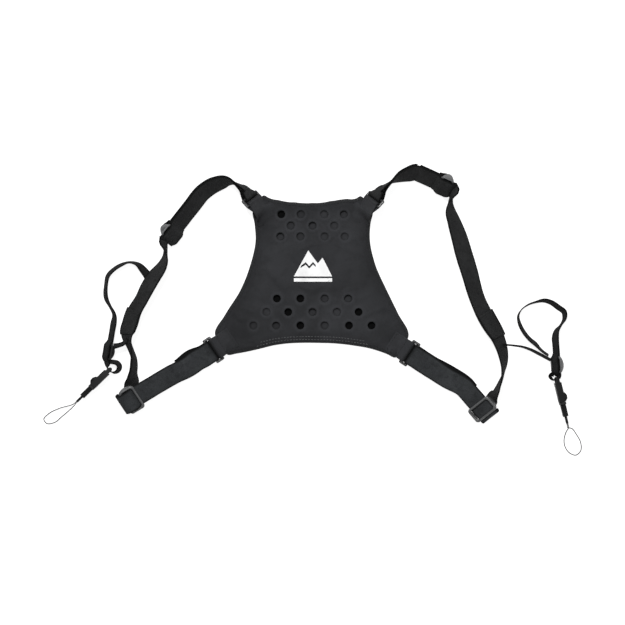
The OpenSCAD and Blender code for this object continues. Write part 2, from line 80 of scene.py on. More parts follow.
def place(x, y, z, heading, roll):
    return (x - ORIGIN[0], y - ORIGIN[1], z, heading, roll)


FRAMES = {
    "left_upper_ring": place(-67.3, 127.4, 13.2, 133, 48),
    "right_upper_ring": place(68.3, 126.9, 13.2, 48, -48),
    "left_lower_ring": place(-110.8, -40.9, 6.4, 213.5, -12),
    "right_lower_ring": place(108.7, -44.7, 6.4, -33, 12),
    "left_upper_slider": place(-162.2, 90.4, 15.6, -128.4, 130),
    "right_upper_slider": place(151.7, 145.5, 15.6, -24, -130),
    "left_lower_slider": place(-208, -99.5, 10.6, 211, -22),
    "right_lower_slider": place(195.5, -110.5, 11.6, -49, 26),
    "left_tether_slider": place(-234.3, -45, 7.6, -99.5, 40),
    "right_tether_slider": place(281.4, -60, 7.6, -86, 40),
    "left_clip": place(-233.5, -65.6, 6.5, 224.5, 90),
    "right_clip": place(281, -76.6, 6.5, -76.5, -90),
}


# ---- Geometry of runs ----
def turned(heading, roll):
    """A frame's three axes."""
    h, r = math.radians(heading), math.radians(roll)
    x = np.array([math.cos(h), math.sin(h), 0.0])
    y = np.array([-math.sin(h) * math.cos(r), math.cos(h) * math.cos(r), math.sin(r)])
    return x, y, np.cross(x, y)


def axes(name):
    return turned(*FRAMES[name][3:])


def spot(name, along=0.0, across=0.0, off=0.0):
    """A point in a hardware frame, in part millimetres."""
    x, y, z = axes(name)
    return np.array(FRAMES[name][:3]) + along * x + across * y + off * z


def metres(point):
    return tuple(float(c) * MM for c in point)


def web(x, y, roll, lift=0.0, width=WEB_W, thick=WEB_T):
    """A station of web whose lower edge rests on the floor, or lift above that."""
    r = math.radians(roll)
    rest = width / 2 * abs(math.sin(r)) + thick / 2 * abs(math.cos(r))
    return [x - ORIGIN[0], y - ORIGIN[1], rest + FLOOR_GAP + lift, roll, 0]


def thin(x, y, roll, lift=0.0):
    return web(x, y, roll, lift, THIN_W, THIN_T)


def on(name, along, off=0.0, flip=0.0):
    """A station of web in a hardware frame."""
    return [*spot(name, along, 0, off), FRAMES[name][4] + flip, 0]


def smooth(points, step, first=0, last=None):
    """The curve that the CAD draws through stations."""
    p = np.array(points, float)
    n = len(p) - 1
    gap = [np.linalg.norm(p[i + 1, :3] - p[i, :3]) for i in range(n)]

    def slope(i):
        if i == 0:
            return (p[1] - p[0]) / gap[0]
        if i == n:
            return (p[n] - p[n - 1]) / gap[n - 1]
        a, b = gap[i - 1], gap[i]
        return ((p[i] - p[i - 1]) * b / a + (p[i + 1] - p[i]) * a / b) / (a + b)

    last = n if last is None else last
    out = []
    for i in range(first, last):
        count = math.ceil(gap[i] / step)
        for k in range(count):
            t = k / count
            s, c = t * t, t * t * t
            out.append(
                (2 * c - 3 * s + 1) * p[i] + (c - 2 * s + t) * gap[i] * slope(i)
                + (3 * s - 2 * c) * p[i + 1] + (c - s) * gap[i] * slope(i + 1)
            )
    out.append(p[last])
    return np.array(out)


def unit(rows):
    """Vectors brought to length 1."""
    return rows / np.linalg.norm(rows, axis=1)[:, None]


def lengths(points):
    """How far along a line each of its points lies."""
    return np.concatenate([[0], np.cumsum(np.linalg.norm(np.diff(points, axis=0), axis=1))])


def pick(s, run, values):
    """The vectors along a run, read at s."""
    return np.array([np.interp(s, run, values[:, k]) for k in range(3)])


def circle(count):
    """Angles round a circle."""
    return np.linspace(0, 2 * math.pi, count, endpoint=False)


def sections(run, step=2.0, first=0, last=None):
    """Middles of a web and the directions across it."""
    p = smooth(run, step, first, last)
    ahead, behind = np.vstack([p[1:], p[-1:]]), np.vstack([p[:1], p[:-1]])
    way = ahead - behind
    mids, cross = [], []
    for q, w in zip(p, way):
        x, y, z = turned(math.degrees(math.atan2(w[1], w[0])), q[3])
        mids.append(q[:3] + z * q[4])
        cross.append(y)
    return np.array(mids), np.array(cross)


def turn(name, along, off, radius, start, stop):
    """A half turn of web round a bar of a hardware frame."""
    x, y, z = axes(name)
    mids = [
        spot(name, along + radius * math.cos(a), 0, off + radius * math.sin(a))
        for a in np.radians(np.linspace(start, stop, BEND_STEPS + 1))
    ]
    return np.array(mids), np.array([y] * len(mids))


def through(ring):
    """Web folded round a ring's bar."""
    return turn(ring, PITCH, 0, SNUG_MID, 270, 90)


def joined(*parts):
    return np.vstack([p[0] for p in parts]), np.vstack([p[1] for p in parts])


def backwards(part):
    return part[0][::-1], part[1][::-1]


def line(name, points):
    """Web through (along, off) points of a hardware frame."""
    y = axes(name)[1]
    mids = smooth([[*spot(name, a, 0, n), 0, 0] for a, n in points], 1.5)[:, :3]
    return mids, np.array([y] * len(mids))


def shifted(run, shifts):
    """A run moved off its own flat by a shift at each station."""
    return [[*s[:4], shifts[min(i, len(shifts) - 1)]] for i, s in enumerate(run)]


# ---- Materials ----
class Paint:
    """A Principled material made of nodes."""

    def __init__(self, name, **values):
        self.mat = bpy.data.materials.new(name)
        self.mat.use_nodes = True
        self.tree = self.mat.node_tree
        self.shader = self.tree.nodes["Principled BSDF"]
        for key, value in values.items():
            self.shader.inputs[key.replace("_", " ")].default_value = value

    def feed(self, node, index, value):
        if isinstance(value, bpy.types.NodeSocket):
            self.tree.links.new(value, node.inputs[index])
        elif value is not None:
            node.inputs[index].default_value = value

    def new(self, kind, inputs=(), out=0, **settings):
        node = self.tree.nodes.new("ShaderNode" + kind)
        for key, value in settings.items():
            setattr(node, key, value)
        for index, value in dict(inputs).items():
            self.feed(node, index, value)
        return node.outputs[out]

    def math(self, operation, a, b=None):
        return self.new("Math", {0: a, 1: b}, operation=operation)

    def times(self, a, b):
        return self.math("MULTIPLY", a, b)

    def sine(self, a):
        return self.math("SINE", a)

    def attribute(self, name, out="Fac"):
        return self.new("Attribute", out=out, attribute_name=name)

    def where(self):
        return self.new("TexCoord", out="Object")

    def parts(self, vector):
        """A vector's x, y and z."""
        node = self.tree.nodes.new("ShaderNodeSeparateXYZ")
        self.tree.links.new(vector, node.inputs[0])
        return node.outputs

    def noise(self, vector, scale, detail=3.0, rough=0.55):
        return self.new("TexNoise", {"Vector": vector, "Scale": scale, "Detail": detail, "Roughness": rough})

    def ramp(self, value, low, high):
        """value stretched so that low gives 0 and high gives 1."""
        return self.new("MapRange", {"Value": value, "From Min": low, "From Max": high})

    def blend(self, factor, a, b):
        node = self.tree.nodes.new("ShaderNodeMix")
        node.data_type = "RGBA"
        self.feed(node, 0, factor)
        for index, value in ((6, a), (7, b)):
            self.feed(node, index, value if isinstance(value, bpy.types.NodeSocket) else (*value, 1.0))
        return node.outputs[2]

    def over(self, body, share, weight, colour):
        """body with a colour laid over it where share is high."""
        return self.blend(self.times(share, weight), body, colour)

    def colour(self, socket):
        self.tree.links.new(socket, self.shader.inputs["Base Color"])

    def roughness(self, socket):
        self.tree.links.new(socket, self.shader.inputs["Roughness"])

    def bump(self, *layers):
        """Each layer is (height, depth in metres)."""
        normal = None
        for height, depth in layers:
            node = self.tree.nodes.new("ShaderNodeBump")
            node.inputs["Distance"].default_value = depth
            node.inputs["Strength"].default_value = 1.0
            self.tree.links.new(height, node.inputs["Height"])
            if normal is not None:
                self.tree.links.new(normal, node.inputs["Normal"])
            normal = node.outputs[0]
        self.tree.links.new(normal, self.shader.inputs["Normal"])
        return self.mat


def grey(level, warm=-0.02):
    return (level * (1 + warm), level, level * (1 - warm))


def woven(name, tone, rib, column, half, warm=-0.02):
    """Webbing: ribs of thread, every other column shifted by half a rib. Sizes are in millimetres."""
    p = Paint(name, Specular_IOR_Level=0.07)
    run, side, _ = p.parts(p.attribute("weave", "Vector"))
    col = p.math("DIVIDE", side, column)
    odd = p.times(p.math("FRACT", p.times(p.math("FLOOR", col), 0.5)), 2 * math.pi)
    phase = p.math("ADD", p.times(run, 2 * math.pi / rib), odd)
    rise = p.math("ADD", p.times(p.sine(phase), 0.5), 0.5)
    ridge = p.math("ABSOLUTE", p.sine(p.times(col, math.pi)))
    thread = p.times(ridge, p.math("ADD", p.times(rise, 0.65), 0.35))
    where = p.where()
    cloud = p.noise(where, 38.0, 4.0)
    patchy = p.noise(where, 170.0, 4.0, 0.7)
    dust = p.noise(where, 420.0, 5.0, 0.7)
    # Painted shade along both edges of the web, where its rounded selvedges turn away from the light
    edge = p.ramp(p.math("ABSOLUTE", side), half - 2.4, half - 0.5)
    # Thread crests painted lighter and the gaps between threads darker: painted highlight and painted shade
    # that follow the weave's relief
    body = p.blend(thread, grey(tone * 0.4, warm), grey(tone * 1.25, warm))
    body = p.over(body, p.ramp(cloud, 0.35, 0.68), 0.7, grey(tone * 1.35, warm))
    body = p.over(body, p.ramp(patchy, 0.52, 0.3), 0.65, grey(tone * 0.45, warm))
    body = p.over(body, p.ramp(dust, 0.6, 0.8), 0.35, grey(tone * 3.2, warm))
    body = p.over(body, edge, 0.9, grey(tone * 0.12))
    # Painted shade where the web's edge value is high: in a ring's slot and on the inner face of the under
    # layer
    p.colour(p.over(body, p.attribute("edge"), 0.92, grey(tone * 0.06)))
    p.roughness(p.ramp(cloud, -1.6, 1.0))
    return p.bump((thread, 0.00022), (p.noise(where, 2600.0, 2.0), 0.00005))


def knit(name, tone, tint):
    """The skin: fine brushed knit with soft unevenness, with painted shade where its edge value is high and a
    painted highlight round the vents.
    """
    p = Paint(name, Specular_IOR_Level=0.12, Sheen_Weight=0.02, Sheen_Roughness=0.5)
    where = p.where()
    across, up, _ = p.parts(where)
    pitch = 2 * math.pi / 0.0009
    wales = p.sine(p.times(across, pitch))
    courses = p.sine(p.times(up, pitch * 1.3))
    loops = p.times(p.math("ADD", wales, 1.0), p.math("ADD", courses, 1.0))
    patchy = p.noise(where, 75.0, 5.0, 0.65)

    def shade_of(level):
        return [c * level for c in tint]

    body = p.blend(p.ramp(p.noise(where, 16.0, 4.0), 0.3, 0.7), shade_of(0.76), shade_of(1.26))
    body = p.over(body, p.ramp(patchy, 0.5, 0.72), 0.6, shade_of(1.4))
    body = p.over(body, p.ramp(p.noise(where, 52.0, 4.0, 0.6), 0.5, 0.32), 0.5, shade_of(0.62))
    body = p.over(body, p.ramp(p.noise(where, 900.0, 4.0, 0.7), 0.66, 0.8), 0.4, grey(tone * 3.0))
    # The loops' crests painted lighter: a painted highlight that follows the knit's relief
    body = p.over(body, loops, 0.1, grey(tone * 1.7))
    # Painted highlight on the ring round each vent
    body = p.blend(p.attribute("vent_rim_highlight"), body, shade_of(1.75))
    # Painted shade where the edge value is high: near the pad's outline and corners, in the rings' slots on
    # the tabs, and on the vent floors
    p.colour(p.over(body, p.attribute("edge"), 0.9, shade_of(0.12)))
    p.roughness(p.ramp(patchy, -1.2, 1.1))
    return p.bump((loops, 0.00006), (p.noise(where, 1500.0, 3.0), 0.00006))


def mesh_cloth(name, tone):
    """The lining: spacer mesh with rows of small round openings."""
    p = Paint(name, Roughness=0.9, Specular_IOR_Level=0.2, Sheen_Weight=0.15)
    where = p.where()
    cells = p.new("TexVoronoi", {"Vector": where, "Scale": 480.0, "Randomness": 0.15}, out="Distance")
    pits = p.ramp(cells, 0.18, 0.42)
    cloud = p.noise(where, 30.0, 3.0)
    # The openings painted darker: painted shade inside them
    body = p.blend(pits, grey(tone * 0.3), grey(tone))
    body = p.blend(p.ramp(cloud, 0.3, 0.75), body, grey(tone * 1.25))
    p.colour(body)
    return p.bump((pits, 0.0003))


def foam(name, tone, specular=0.15):
    p = Paint(name, Roughness=0.95, Specular_IOR_Level=specular)
    where = p.where()
    cells = p.new("TexVoronoi", {"Vector": where, "Scale": 2100.0}, out="Distance")
    # The pores painted darker: painted shade inside them
    p.colour(p.blend(p.ramp(cells, 0.1, 0.6), grey(tone * 0.5), grey(tone * 1.2)))
    return p.bump((cells, 0.00015))


def moulded(name, tone, rough, edge_highlight=0.25, specular=0.5):
    """Moulded plastic: satin, faintly pitted, with a painted highlight that makes its sharp edges paler."""
    p = Paint(name, Specular_IOR_Level=specular)
    where = p.where()
    broad = p.noise(where, 120.0, 4.0)
    # Painted highlight on the sharp edges, where pointiness is high
    painted_highlight_and_shade = p.ramp(p.new("NewGeometry", out="Pointiness"), 0.505, 0.56)
    body = p.blend(p.ramp(broad, 0.35, 0.7), grey(tone * 0.85), grey(tone * 1.25))
    p.colour(p.over(body, painted_highlight_and_shade, edge_highlight, grey(min(tone * 6, 0.4))))
    p.roughness(p.ramp(broad, 0.5 - rough * 2.2, 1.6))
    return p.bump((p.noise(where, 1800.0, 3.0), 0.00003))


def printed(name):
    """Transfer print: off-white, finely crackled."""
    p = Paint(name, Roughness=0.5, Specular_IOR_Level=0.35)
    where = p.where()
    crackle = p.noise(where, 1400.0, 4.0, 0.7)
    body = p.blend(p.ramp(p.noise(where, 90.0, 3.0), 0.35, 0.7), grey(0.56, 0.0), grey(0.64, 0.0))
    p.colour(p.over(body, p.ramp(crackle, 0.66, 0.74), 0.45, grey(0.35)))
    return p.bump((crackle, 0.00005))


def braided(name, tone, turn_mm):
    """Cord: strands that cross as they wind; the attribute holds the run and the way round."""
    p = Paint(name, Roughness=0.9, Specular_IOR_Level=0.08)
    run, angle, _ = p.parts(p.attribute("weave", "Vector"))
    along = p.times(run, 2 * math.pi / turn_mm)
    wound = p.times(angle, 4.0)
    left = p.sine(p.math("ADD", along, wound))
    right = p.sine(p.math("SUBTRACT", along, wound))
    strands = p.math("MAXIMUM", left, right)
    # Strand crests painted lighter and the grooves between strands darker: painted highlight and painted
    # shade
    p.colour(p.blend(p.ramp(strands, -0.3, 1.0), grey(tone * 0.4), grey(tone * 1.4)))
    return p.bump((strands, 0.00012))


SKIN_TINT = (0.0180, 0.0186, 0.0206)
MAT = {
    "skin": knit("skin_knit", 0.0155, SKIN_TINT),
    # One webbing at two tones, as painted light and shade: the lower webs painted lighter, the shoulder and
    # front webs darker
    "web": woven("lower_web", 0.0275, 1.9, 1.15, WEB_W / 2, -0.065),
    "strap": woven("shoulder_web", 0.0158, 1.9, 1.15, WEB_W / 2),
    "thin": woven("tether_web", 0.0115, 1.4, 0.9, THIN_W / 2),
    "lining": mesh_cloth("lining_mesh", 0.020),
    "foam": foam("pad_foam", 0.012),
    # A darker copy of the foam for the floors of the deep vents: painted shade
    "pit": foam("deep_foam", 0.0025, 0.02),
    "plastic": moulded("moulded_acetal", 0.029, 0.34, 0.3, 0.45),
    "gloss": moulded("ring_wire", 0.022, 0.16, 0.15),
    "clip": moulded("clip_acetal", 0.0036, 0.42, 0.6, 0.06),
    "print": printed("transfer_print"),
    "cord": braided("loop_cord", 0.003, 1.6),
    "thread": braided("sewing_thread", 0.105, 0.9),
    "dark thread": braided("dark_thread", 0.020, 0.9),
}


# ---- Meshes ----
def build(name, points, faces, material, weave=None, flat=False, extra=(), face_mats=None):
    """A piece from points in part millimetres."""
    mesh = bpy.data.meshes.new(name)
    mesh.from_pydata([metres(p) for p in points], [], [list(map(int, f)) for f in faces])
    mesh.update()
    if weave is not None:
        layer = mesh.attributes.new("weave", "FLOAT_VECTOR", "POINT")
        layer.data.foreach_set("vector", np.asarray(weave, np.float32).ravel())
    for m in (material, *extra):
        mesh.materials.append(m)
    if face_mats is not None:
        mesh.polygons.foreach_set("material_index", np.asarray(face_mats, np.int32))
    mesh.polygons.foreach_set("use_smooth", [not flat] * len(mesh.polygons))
    piece = bpy.data.objects.new(name, mesh)
    bpy.context.scene.collection.objects.link(piece)
    return piece


def ripple(s, seed):
    """Slow uneven wave with no period of its own."""
    slow, brisk, fast = np.sin(s / 17.0 + seed), np.sin(s / 7.3 + 2.1 * seed), np.sin(s / 3.7 + 5.3 * seed)
    return (slow + 0.6 * brisk + 0.3 * fast) / 1.9


def profile(width, thick, spans):
    """A web's section, anticlockwise: flat faces and rounded edges."""
    r = thick * 0.45
    inner = width / 2 - r
    pts = []
    for side in (1, -1):
        for a in np.radians((-90, -45, 0, 45, 90)):
            pts.append((side * (inner + r * math.cos(a)), side * thick / 2 * math.sin(a)))
        for k in range(1, spans):
            pts.append((side * (inner - 2 * inner * k / spans), side * thick / 2))
    return np.array(pts)


def bands(start, rows, sides, flip=False, closed=False):
    """Faces between neighbouring rows of points; flip winds them the other way."""
    faces = []
    for i in range(rows if closed else rows - 1):
        a, b = start + i * sides, start + (i + 1) % rows * sides
        for j in range(sides):
            k = (j + 1) % sides
            faces.append((a + j, b + j, b + k, a + k) if flip else (a + j, a + k, b + k, b + j))
    return faces


def ends(start, rows, sides):
    """Faces over the first and the last row."""
    last = start + (rows - 1) * sides
    return [tuple(range(start + sides - 1, start - 1, -1)), tuple(range(last, last + sides))]


class Web:
    """A web laid along sections, which can be meshed and sewn on."""

    def __init__(self, part, width, thick, seed, curl=0.25, widths=((0, 1), (1, 1)), cups=(), gathers=(),
                 creases=()):
        gap = np.linalg.norm(np.diff(part[0], axis=0), axis=1)
        keep = np.concatenate([[True], gap > LEAST_STEP])
        self.mids, cross = part[0][keep], part[1][keep]
        self.run = lengths(self.mids)
        way = unit(np.gradient(self.mids, axis=0))
        self.cross = unit(cross - way * np.sum(cross * way, axis=1)[:, None])
        self.off = np.cross(way, self.cross)
        self.width, self.thick, self.seed, self.curl = width, thick, seed, curl
        self.widths = np.interp(self.run / self.run[-1], *widths)
        self.cup = np.zeros(len(self.run))
        for point, reach, depth in cups:
            self.cup += depth * self.nearness(point, reach)
        for point, reach, loss in gathers:
            self.widths = self.widths * (1 - loss * self.nearness(point, reach))
        self.creases = [(self.nearness(point, reach), face) for point, reach, face in creases]

    def gone(self, point):
        """How far the web is in plan from a point in layout coordinates."""
        return np.linalg.norm(self.mids[:, :2] - (np.array(point) - ORIGIN), axis=1)

    def nearness(self, point, reach):
        """1 where the web passes a plan point, falling off round it."""
        gone = self.gone(point)
        return np.exp(-((gone - gone.min()) / reach) ** 2)

    def shade_before(self, point, depth):
        """Paints shade on the inner face of the layer that runs up to a plan point, where the layer above
        shades it.
        """
        self.creases.append((depth * (np.arange(len(self.run)) < np.argmin(self.gone(point))), -1))

    def painted_shade(self, b):
        """How much painted shade the web has along its run on the face where b lies; a crease of face 0 shows
        on both.
        """
        return np.max([0 * self.run, *[near * (face * b >= 0) for near, face in self.creases]], axis=0)

    def bow(self, side):
        """How far the web bends off its flat at an offset across it."""
        arch = (2 * side / self.width) ** 2 - 0.4
        return (self.curl * ripple(self.run * 0.7, self.seed) + self.cup) * arch

    def at(self, s, side):
        """A stitch's place on the web's outer face, and the way out of it."""
        out = pick(s, self.run, self.off)
        bow, share = np.interp(s, self.run, self.bow(side)), np.interp(s, self.run, self.widths)
        middle, cross = pick(s, self.run, self.mids), pick(s, self.run, self.cross)
        return middle + cross * side * share + out * (bow + (self.thick / 2 + STITCH_LIFT)), out

    def piece(self, name, material, spans=WEB_SPANS):
        section = profile(self.width, self.thick, spans)
        k, n = len(section), len(self.run)
        points, weave = [], []
        fray = 0.12 * ripple(self.run * 3.1, self.seed + 1.7)
        for a, b in section:
            side = (a + np.sign(a) * fray * (abs(a) > self.width / 2 - self.thick)) * self.widths
            points.append(self.mids + self.cross * side[:, None] + self.off * (self.bow(a) + b)[:, None])
            weave.append(np.stack([self.run, np.full(n, a), np.full(n, b)], axis=1))
        points, weave = (np.stack(rows, axis=1).reshape(-1, 3) for rows in (points, weave))
        made = build(name, points, bands(0, n, k) + ends(0, n, k), material, weave)
        shade(made, "edge", np.stack([self.painted_shade(b) for a, b in section], axis=1).ravel())
        return made


def shade(piece, name, values):
    """A value at each point that the piece's material reads."""
    layer = piece.data.attributes.new(name, "FLOAT", "POINT")
    layer.data.foreach_set("value", np.asarray(values, np.float32))


def tube(name, p, radius, material, sides=10):
    """A round cord along points."""
    way = unit(np.gradient(p, axis=0))
    side = unit(np.stack([-way[:, 1], way[:, 0], np.zeros(len(p))], axis=1))
    up = np.cross(way, side)
    points, weave = [], []
    for i, run in enumerate(lengths(p)):
        for a in circle(sides):
            points.append(p[i] + radius * (math.cos(a) * side[i] + math.sin(a) * up[i]))
            weave.append((run, a, 0))
    return build(name, points, bands(0, len(p), sides) + ends(0, len(p), sides), material, weave)


def wear(piece, body, slot, *nodes):
    """Gives a piece its body and hides the CAD nodes that it stands for; slot is not used."""
    if body:
        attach(piece, body)
    if nodes:
        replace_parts(piece, *nodes)
    return piece


# Stations of one stitch: share of its length from its middle, rise, and fatness
STITCH = [(-0.5, -0.32, 0.55), (-0.3, 0.06, 1.0), (0.0, 0.14, 1.05), (0.3, 0.06, 1.0), (0.5, -0.32, 0.55)]
STITCH_L, STITCH_GAP, STITCH_SIDES = 2.5, 1.0, 6


def stitches(name, rows, slot, thread="dark thread", radius=0.27):
    """Rows of stitches on the harness. A row is a list of (point, way out)."""
    points, faces, weave = [], [], []
    for row in rows:
        at, out = np.array([r[0] for r in row]), np.array([r[1] for r in row])
        run = lengths(at)
        count = max(1, int((run[-1] + STITCH_GAP) / (STITCH_L + STITCH_GAP)))
        pitch = (run[-1] + STITCH_GAP) / count
        for c in range(count):
            base = len(points)
            for along, rise, fat in STITCH:
                s = min(max(c * pitch + (along + 0.5) * STITCH_L, 0), run[-1])
                here, normal = pick(s, run, at), pick(s, run, out)
                normal /= np.linalg.norm(normal)
                way = pick(min(s + 0.3, run[-1]), run, at) - pick(max(s - 0.3, 0), run, at)
                way /= np.linalg.norm(way) + 1e-9
                arm = np.cross(normal, way) * fat * radius
                for a in circle(STITCH_SIDES):
                    points.append(here + normal * (rise + fat * radius * math.sin(a)) + arm * math.cos(a))
                    weave.append((s, a, 0))
            faces += bands(base, len(STITCH), STITCH_SIDES, flip=True)
            faces += [face[::-1] for face in ends(base, len(STITCH), STITCH_SIDES)]
    wear(build(name, points, faces, MAT[thread], weave), "harness", slot)


def paint_node(node, material, width):
    """Paints a moulded CAD part, rounds its edges and smooths its curved faces."""
    piece = NODES[node]
    piece.data.materials.clear()
    piece.data.materials.append(MAT[material])
    piece.modifiers.new("weld", "WELD").merge_threshold = 0.00001
    soften(piece, width, 3, 35).harden_normals = True
    piece.data.shade_smooth()


def soften(piece, width, segments, angle):
    """A bevel on the piece's sharp edges."""
    bevel = piece.modifiers.new("edges", "BEVEL")
    bevel.width, bevel.segments, bevel.limit_method = width, segments, "ANGLE"
    bevel.angle_limit = math.radians(angle)
    return bevel


# ---- Camera, then the cords ----
VIEW_W = 0.71875
LENS, SENSOR = 110.0, 36.0
camera_data = bpy.data.cameras.new("camera")
camera_data.lens, camera_data.sensor_width = LENS, SENSOR
camera_data.clip_start, camera_data.clip_end = 0.05, 50.0
camera = bpy.data.objects.new("camera", camera_data)
camera.location = (-ORIGIN[0] * MM, -ORIGIN[1] * MM, VIEW_W * LENS / SENSOR + 0.008)
bpy.context.scene.collection.objects.link(camera)
bpy.context.scene.camera = camera

CORD_R = 0.5
STRAND_GAP = 0.6
SLEEVE_L = 9.0
CORD_ROUTES = {
    "left": [(-293, -111, 1.2), (-304, -116.5, 0.3), (-310, -123.5, 0.1), (-307, -127.8, 0.1),
             (-298, -127, 0.3), (-289, -120, 1.2)],
    "right": [(292.2, -138.5, 0.9), (290.2, -148, 0.3), (291.9, -156, 0.1), (297, -162.3, 0.1),
              (304, -164.5, 0.1), (309.2, -160, 0.1), (309.4, -150, 0.1), (304.7, -141, 0.3),
              (299.2, -133.8, 1.0)],
}


def cord_points(side):
    """The loop leaves the clip on one side of its axis and comes back on the other."""
    name = side + "_clip"
    f = FRAMES[name]
    x = axes(name)[0]
    lateral = np.array([-x[1], x[0], 0]) * STRAND_GAP * (-1 if f[4] > 0 else 1)

    def out(along, share, height):
        p = np.array([f[0], f[1], 0]) + x * along + lateral * share
        return [p[0], p[1], height]

    neck = [CLIP_L + d for d in (0.05, 1, SLEEVE_L, SLEEVE_L + 2)]
    spread = CLIP_L + SLEEVE_L + 4
    loop = [[px - ORIGIN[0], py - ORIGIN[1], h + CORD_R] for px, py, h in CORD_ROUTES[side]]
    away = [out(d, 1, f[2]) for d in neck] + [out(spread, 1.3, f[2] * 0.7)]
    return away + loop + [out(spread, -1.3, f[2] * 0.7)] + [out(d, -1, f[2]) for d in neck[::-1]]


for side in ("left", "right"):
    route = smooth(cord_points(side), 1.2)
    loop = tube(side + "_loop_cord", route, CORD_R, MAT["cord"])
    wear(loop, side + "_clip_plug", "cord", side + "_cord_loop")

# ---- Runs of webbing ----
RUNS = {
    "left_shoulder": [
        on("left_upper_ring", WEB_START, -FOLD_MID, 6), on("left_upper_ring", WEB_START + 3, -FOLD_MID, 12),
        web(-83.4, 142.6, 74, 2.5), web(-90, 147.8, 90, 1.5), web(-98.5, 149.5, 112, 2.3),
        web(-111.5, 146, 126, 2.3), web(-124, 138, 130, 4),
        *[on("left_upper_slider", d) for d in (-38, -33, 0, 8.6, 9.8)]],
    "right_shoulder": [
        on("right_upper_ring", WEB_START, -FOLD_MID, -6),
        on("right_upper_ring", WEB_START + 3, -FOLD_MID, -12), web(83.7, 142.2, -74, 2.5),
        web(91, 149.3, -90, 1.5), web(101, 155, -112, 1.5), web(111, 158, -124, 3),
        *[on("right_upper_slider", d) for d in (-35, -32, 0, 8.6, 9.8)]],
    "left_front": [
        web(-168.3, 75, 95.5, 1), web(-168.5, 64, 71), web(-173, 53, 58, 1), web(-182, 41, 47, 3),
        web(-190, 27.6, 46, 3), web(-197, 14, 49, 1), web(-204, 2, 46), web(-208.5, -11.5, 44),
        web(-212, -25, 50), web(-210.5, -34, 68), web(-207, -44, 79), web(-204, -56, 90),
        web(-204, -67, 102), web(-206, -76, 122), web(-208.5, -84, 150), web(-209.5, -91.5, 157),
        *[on("left_lower_slider", d, UNDER, 180) for d in (6, 8.5, RUN_END)]],
    "right_front": [
        web(159.4, 133.6, -95, 1), web(157.5, 126, -73), web(158, 118.5, -60), web(163, 103.5, -48),
        web(168.5, 87, -39), web(173, 71, -34), web(180, 48, -35), web(190, 14, -41),
        web(197, -1, -38), web(205.5, -16, -39), web(213, -29, -48), web(217, -40, -54),
        web(219.5, -53, -62), web(219.5, -66, -76), web(217, -77, -88), web(213, -87, -98),
        web(209.5, -94, -112), web(206.5, -99.5, -146), web(203.5, -105, -154),
        *[on("right_lower_slider", d, UNDER, -180) for d in (6, 8.5, RUN_END)]],
    "left_lower": [
        on("left_lower_ring", WEB_START, FOLD_MID), on("left_lower_ring", WEB_START + 4, FOLD_MID),
        web(-133, -54.5, -14, 3), web(-152, -66, -20, 3),
        *[on("left_lower_slider", d) for d in (-40, -36, 8, RUN_END)]],
    "right_lower": [
        on("right_lower_ring", WEB_START, FOLD_MID), on("right_lower_ring", WEB_START + 4, FOLD_MID),
        web(136, -63, 15, 3), web(155, -75, 22, 3),
        *[on("right_lower_slider", d) for d in (-30, -26, 8, RUN_END)]],
    "left_tether": [
        thin(-184, 30, 0, 0.1), thin(-189, 40.5, 0, 0.1), thin(-195, 49, 28, 0.2), thin(-202.5, 56, 64),
        thin(-211, 57.8, 77), thin(-220, 55, 65), thin(-229, 49.5, 60), thin(-235.5, 42.5, 56),
        thin(-237.8, 32, 60), thin(-237.5, 16, 56), thin(-233, 7, 68), thin(-228.5, -2, 60, 0.5),
        *[on("left_tether_slider", d) for d in (-33, -28, 9, 10.4, 11.5)]],
    "right_tether": [
        thin(271.6, -49.3, 72), thin(267.2, -46.4, 72), thin(262.2, -42.2, 70), thin(257.5, -37, 60),
        thin(250.5, -31, 60), thin(243.5, -22.5, 60),
        thin(238.6, -13, 63), thin(237, -4, 74), thin(240.5, 3, 84), thin(247.5, 8.5, 82),
        thin(257, 12, 78), thin(267, 13.8, 64), thin(275, 11.5, 58), thin(283, 6, 56),
        thin(290, 0.2, 58), thin(290.3, -6.5, 68), thin(286, -14.5, 84), thin(281, -21.5, 60, 1),
        *[on("right_tether_slider", d) for d in (-30, -24, 9, 10.4, 11.5)]],
}
UPPER_SHIFTS = [2 * FOLD_MID, 2 * FOLD_MID, 3.0, 1.75, 1.75, 2.0, 2.2]
LOWER_SHIFTS = [-2 * FOLD_MID, -5, -2.8, -2.2]
RETURN_STATIONS = {"left": 7, "right": 6}
LAPS = {"left": -38.0, "right": -35.0}
# Where a web cups and gathers, besides the twist at the front run's start: a plan point, a reach along the
# web, and a depth or a lost share of its width. A crease is painted shade and has a face in place of those: 0
# for both.
NECK_AT = {"left": (-81, 141.8), "right": (81.6, 141.4)}
CUP_REACH, CUP_DEPTH = 11, 3.4
TWIST_GATHER, NECK_GATHER = (13, 0.35), (10, 0.4)
# Painted shade in a ring's slot on both faces, and on the inner face of the under layer: reach and face
SLOT_CREASE, UNDER_CREASE = (2.4, 0), (24, -1)
FRONT_CUPS = {"left": [((-204, -56), 20, 6.0)], "right": [((217, -77), 14, -2.0)]}
FRONT_GATHERS = {"left": [((-208.5, -86), 16, 0.3)], "right": [((206, -100), 14, 0.35)]}
# How far the two layers of a lower web slip sideways past each other: amount, place along, reach
OVER_SWAY = {"left": (2.0, 26, 13), "right": (-0.6, 40, 18)}
UNDER_SWAY = {"left": (-2.3, 19, 11), "right": (2.6, 46, 21)}
UNDER_END = {"left": 3, "right": 5}
UPPER_BAR_R = 1.2
SEWN_MID = UPPER_BAR_R + 0.2 + WEB_T / 2
BAR_GAP = 0.35
BAR_UNDER = WEB_T / 2 + BAR_GAP + WEB_T + 0.2 + UPPER_BAR_R


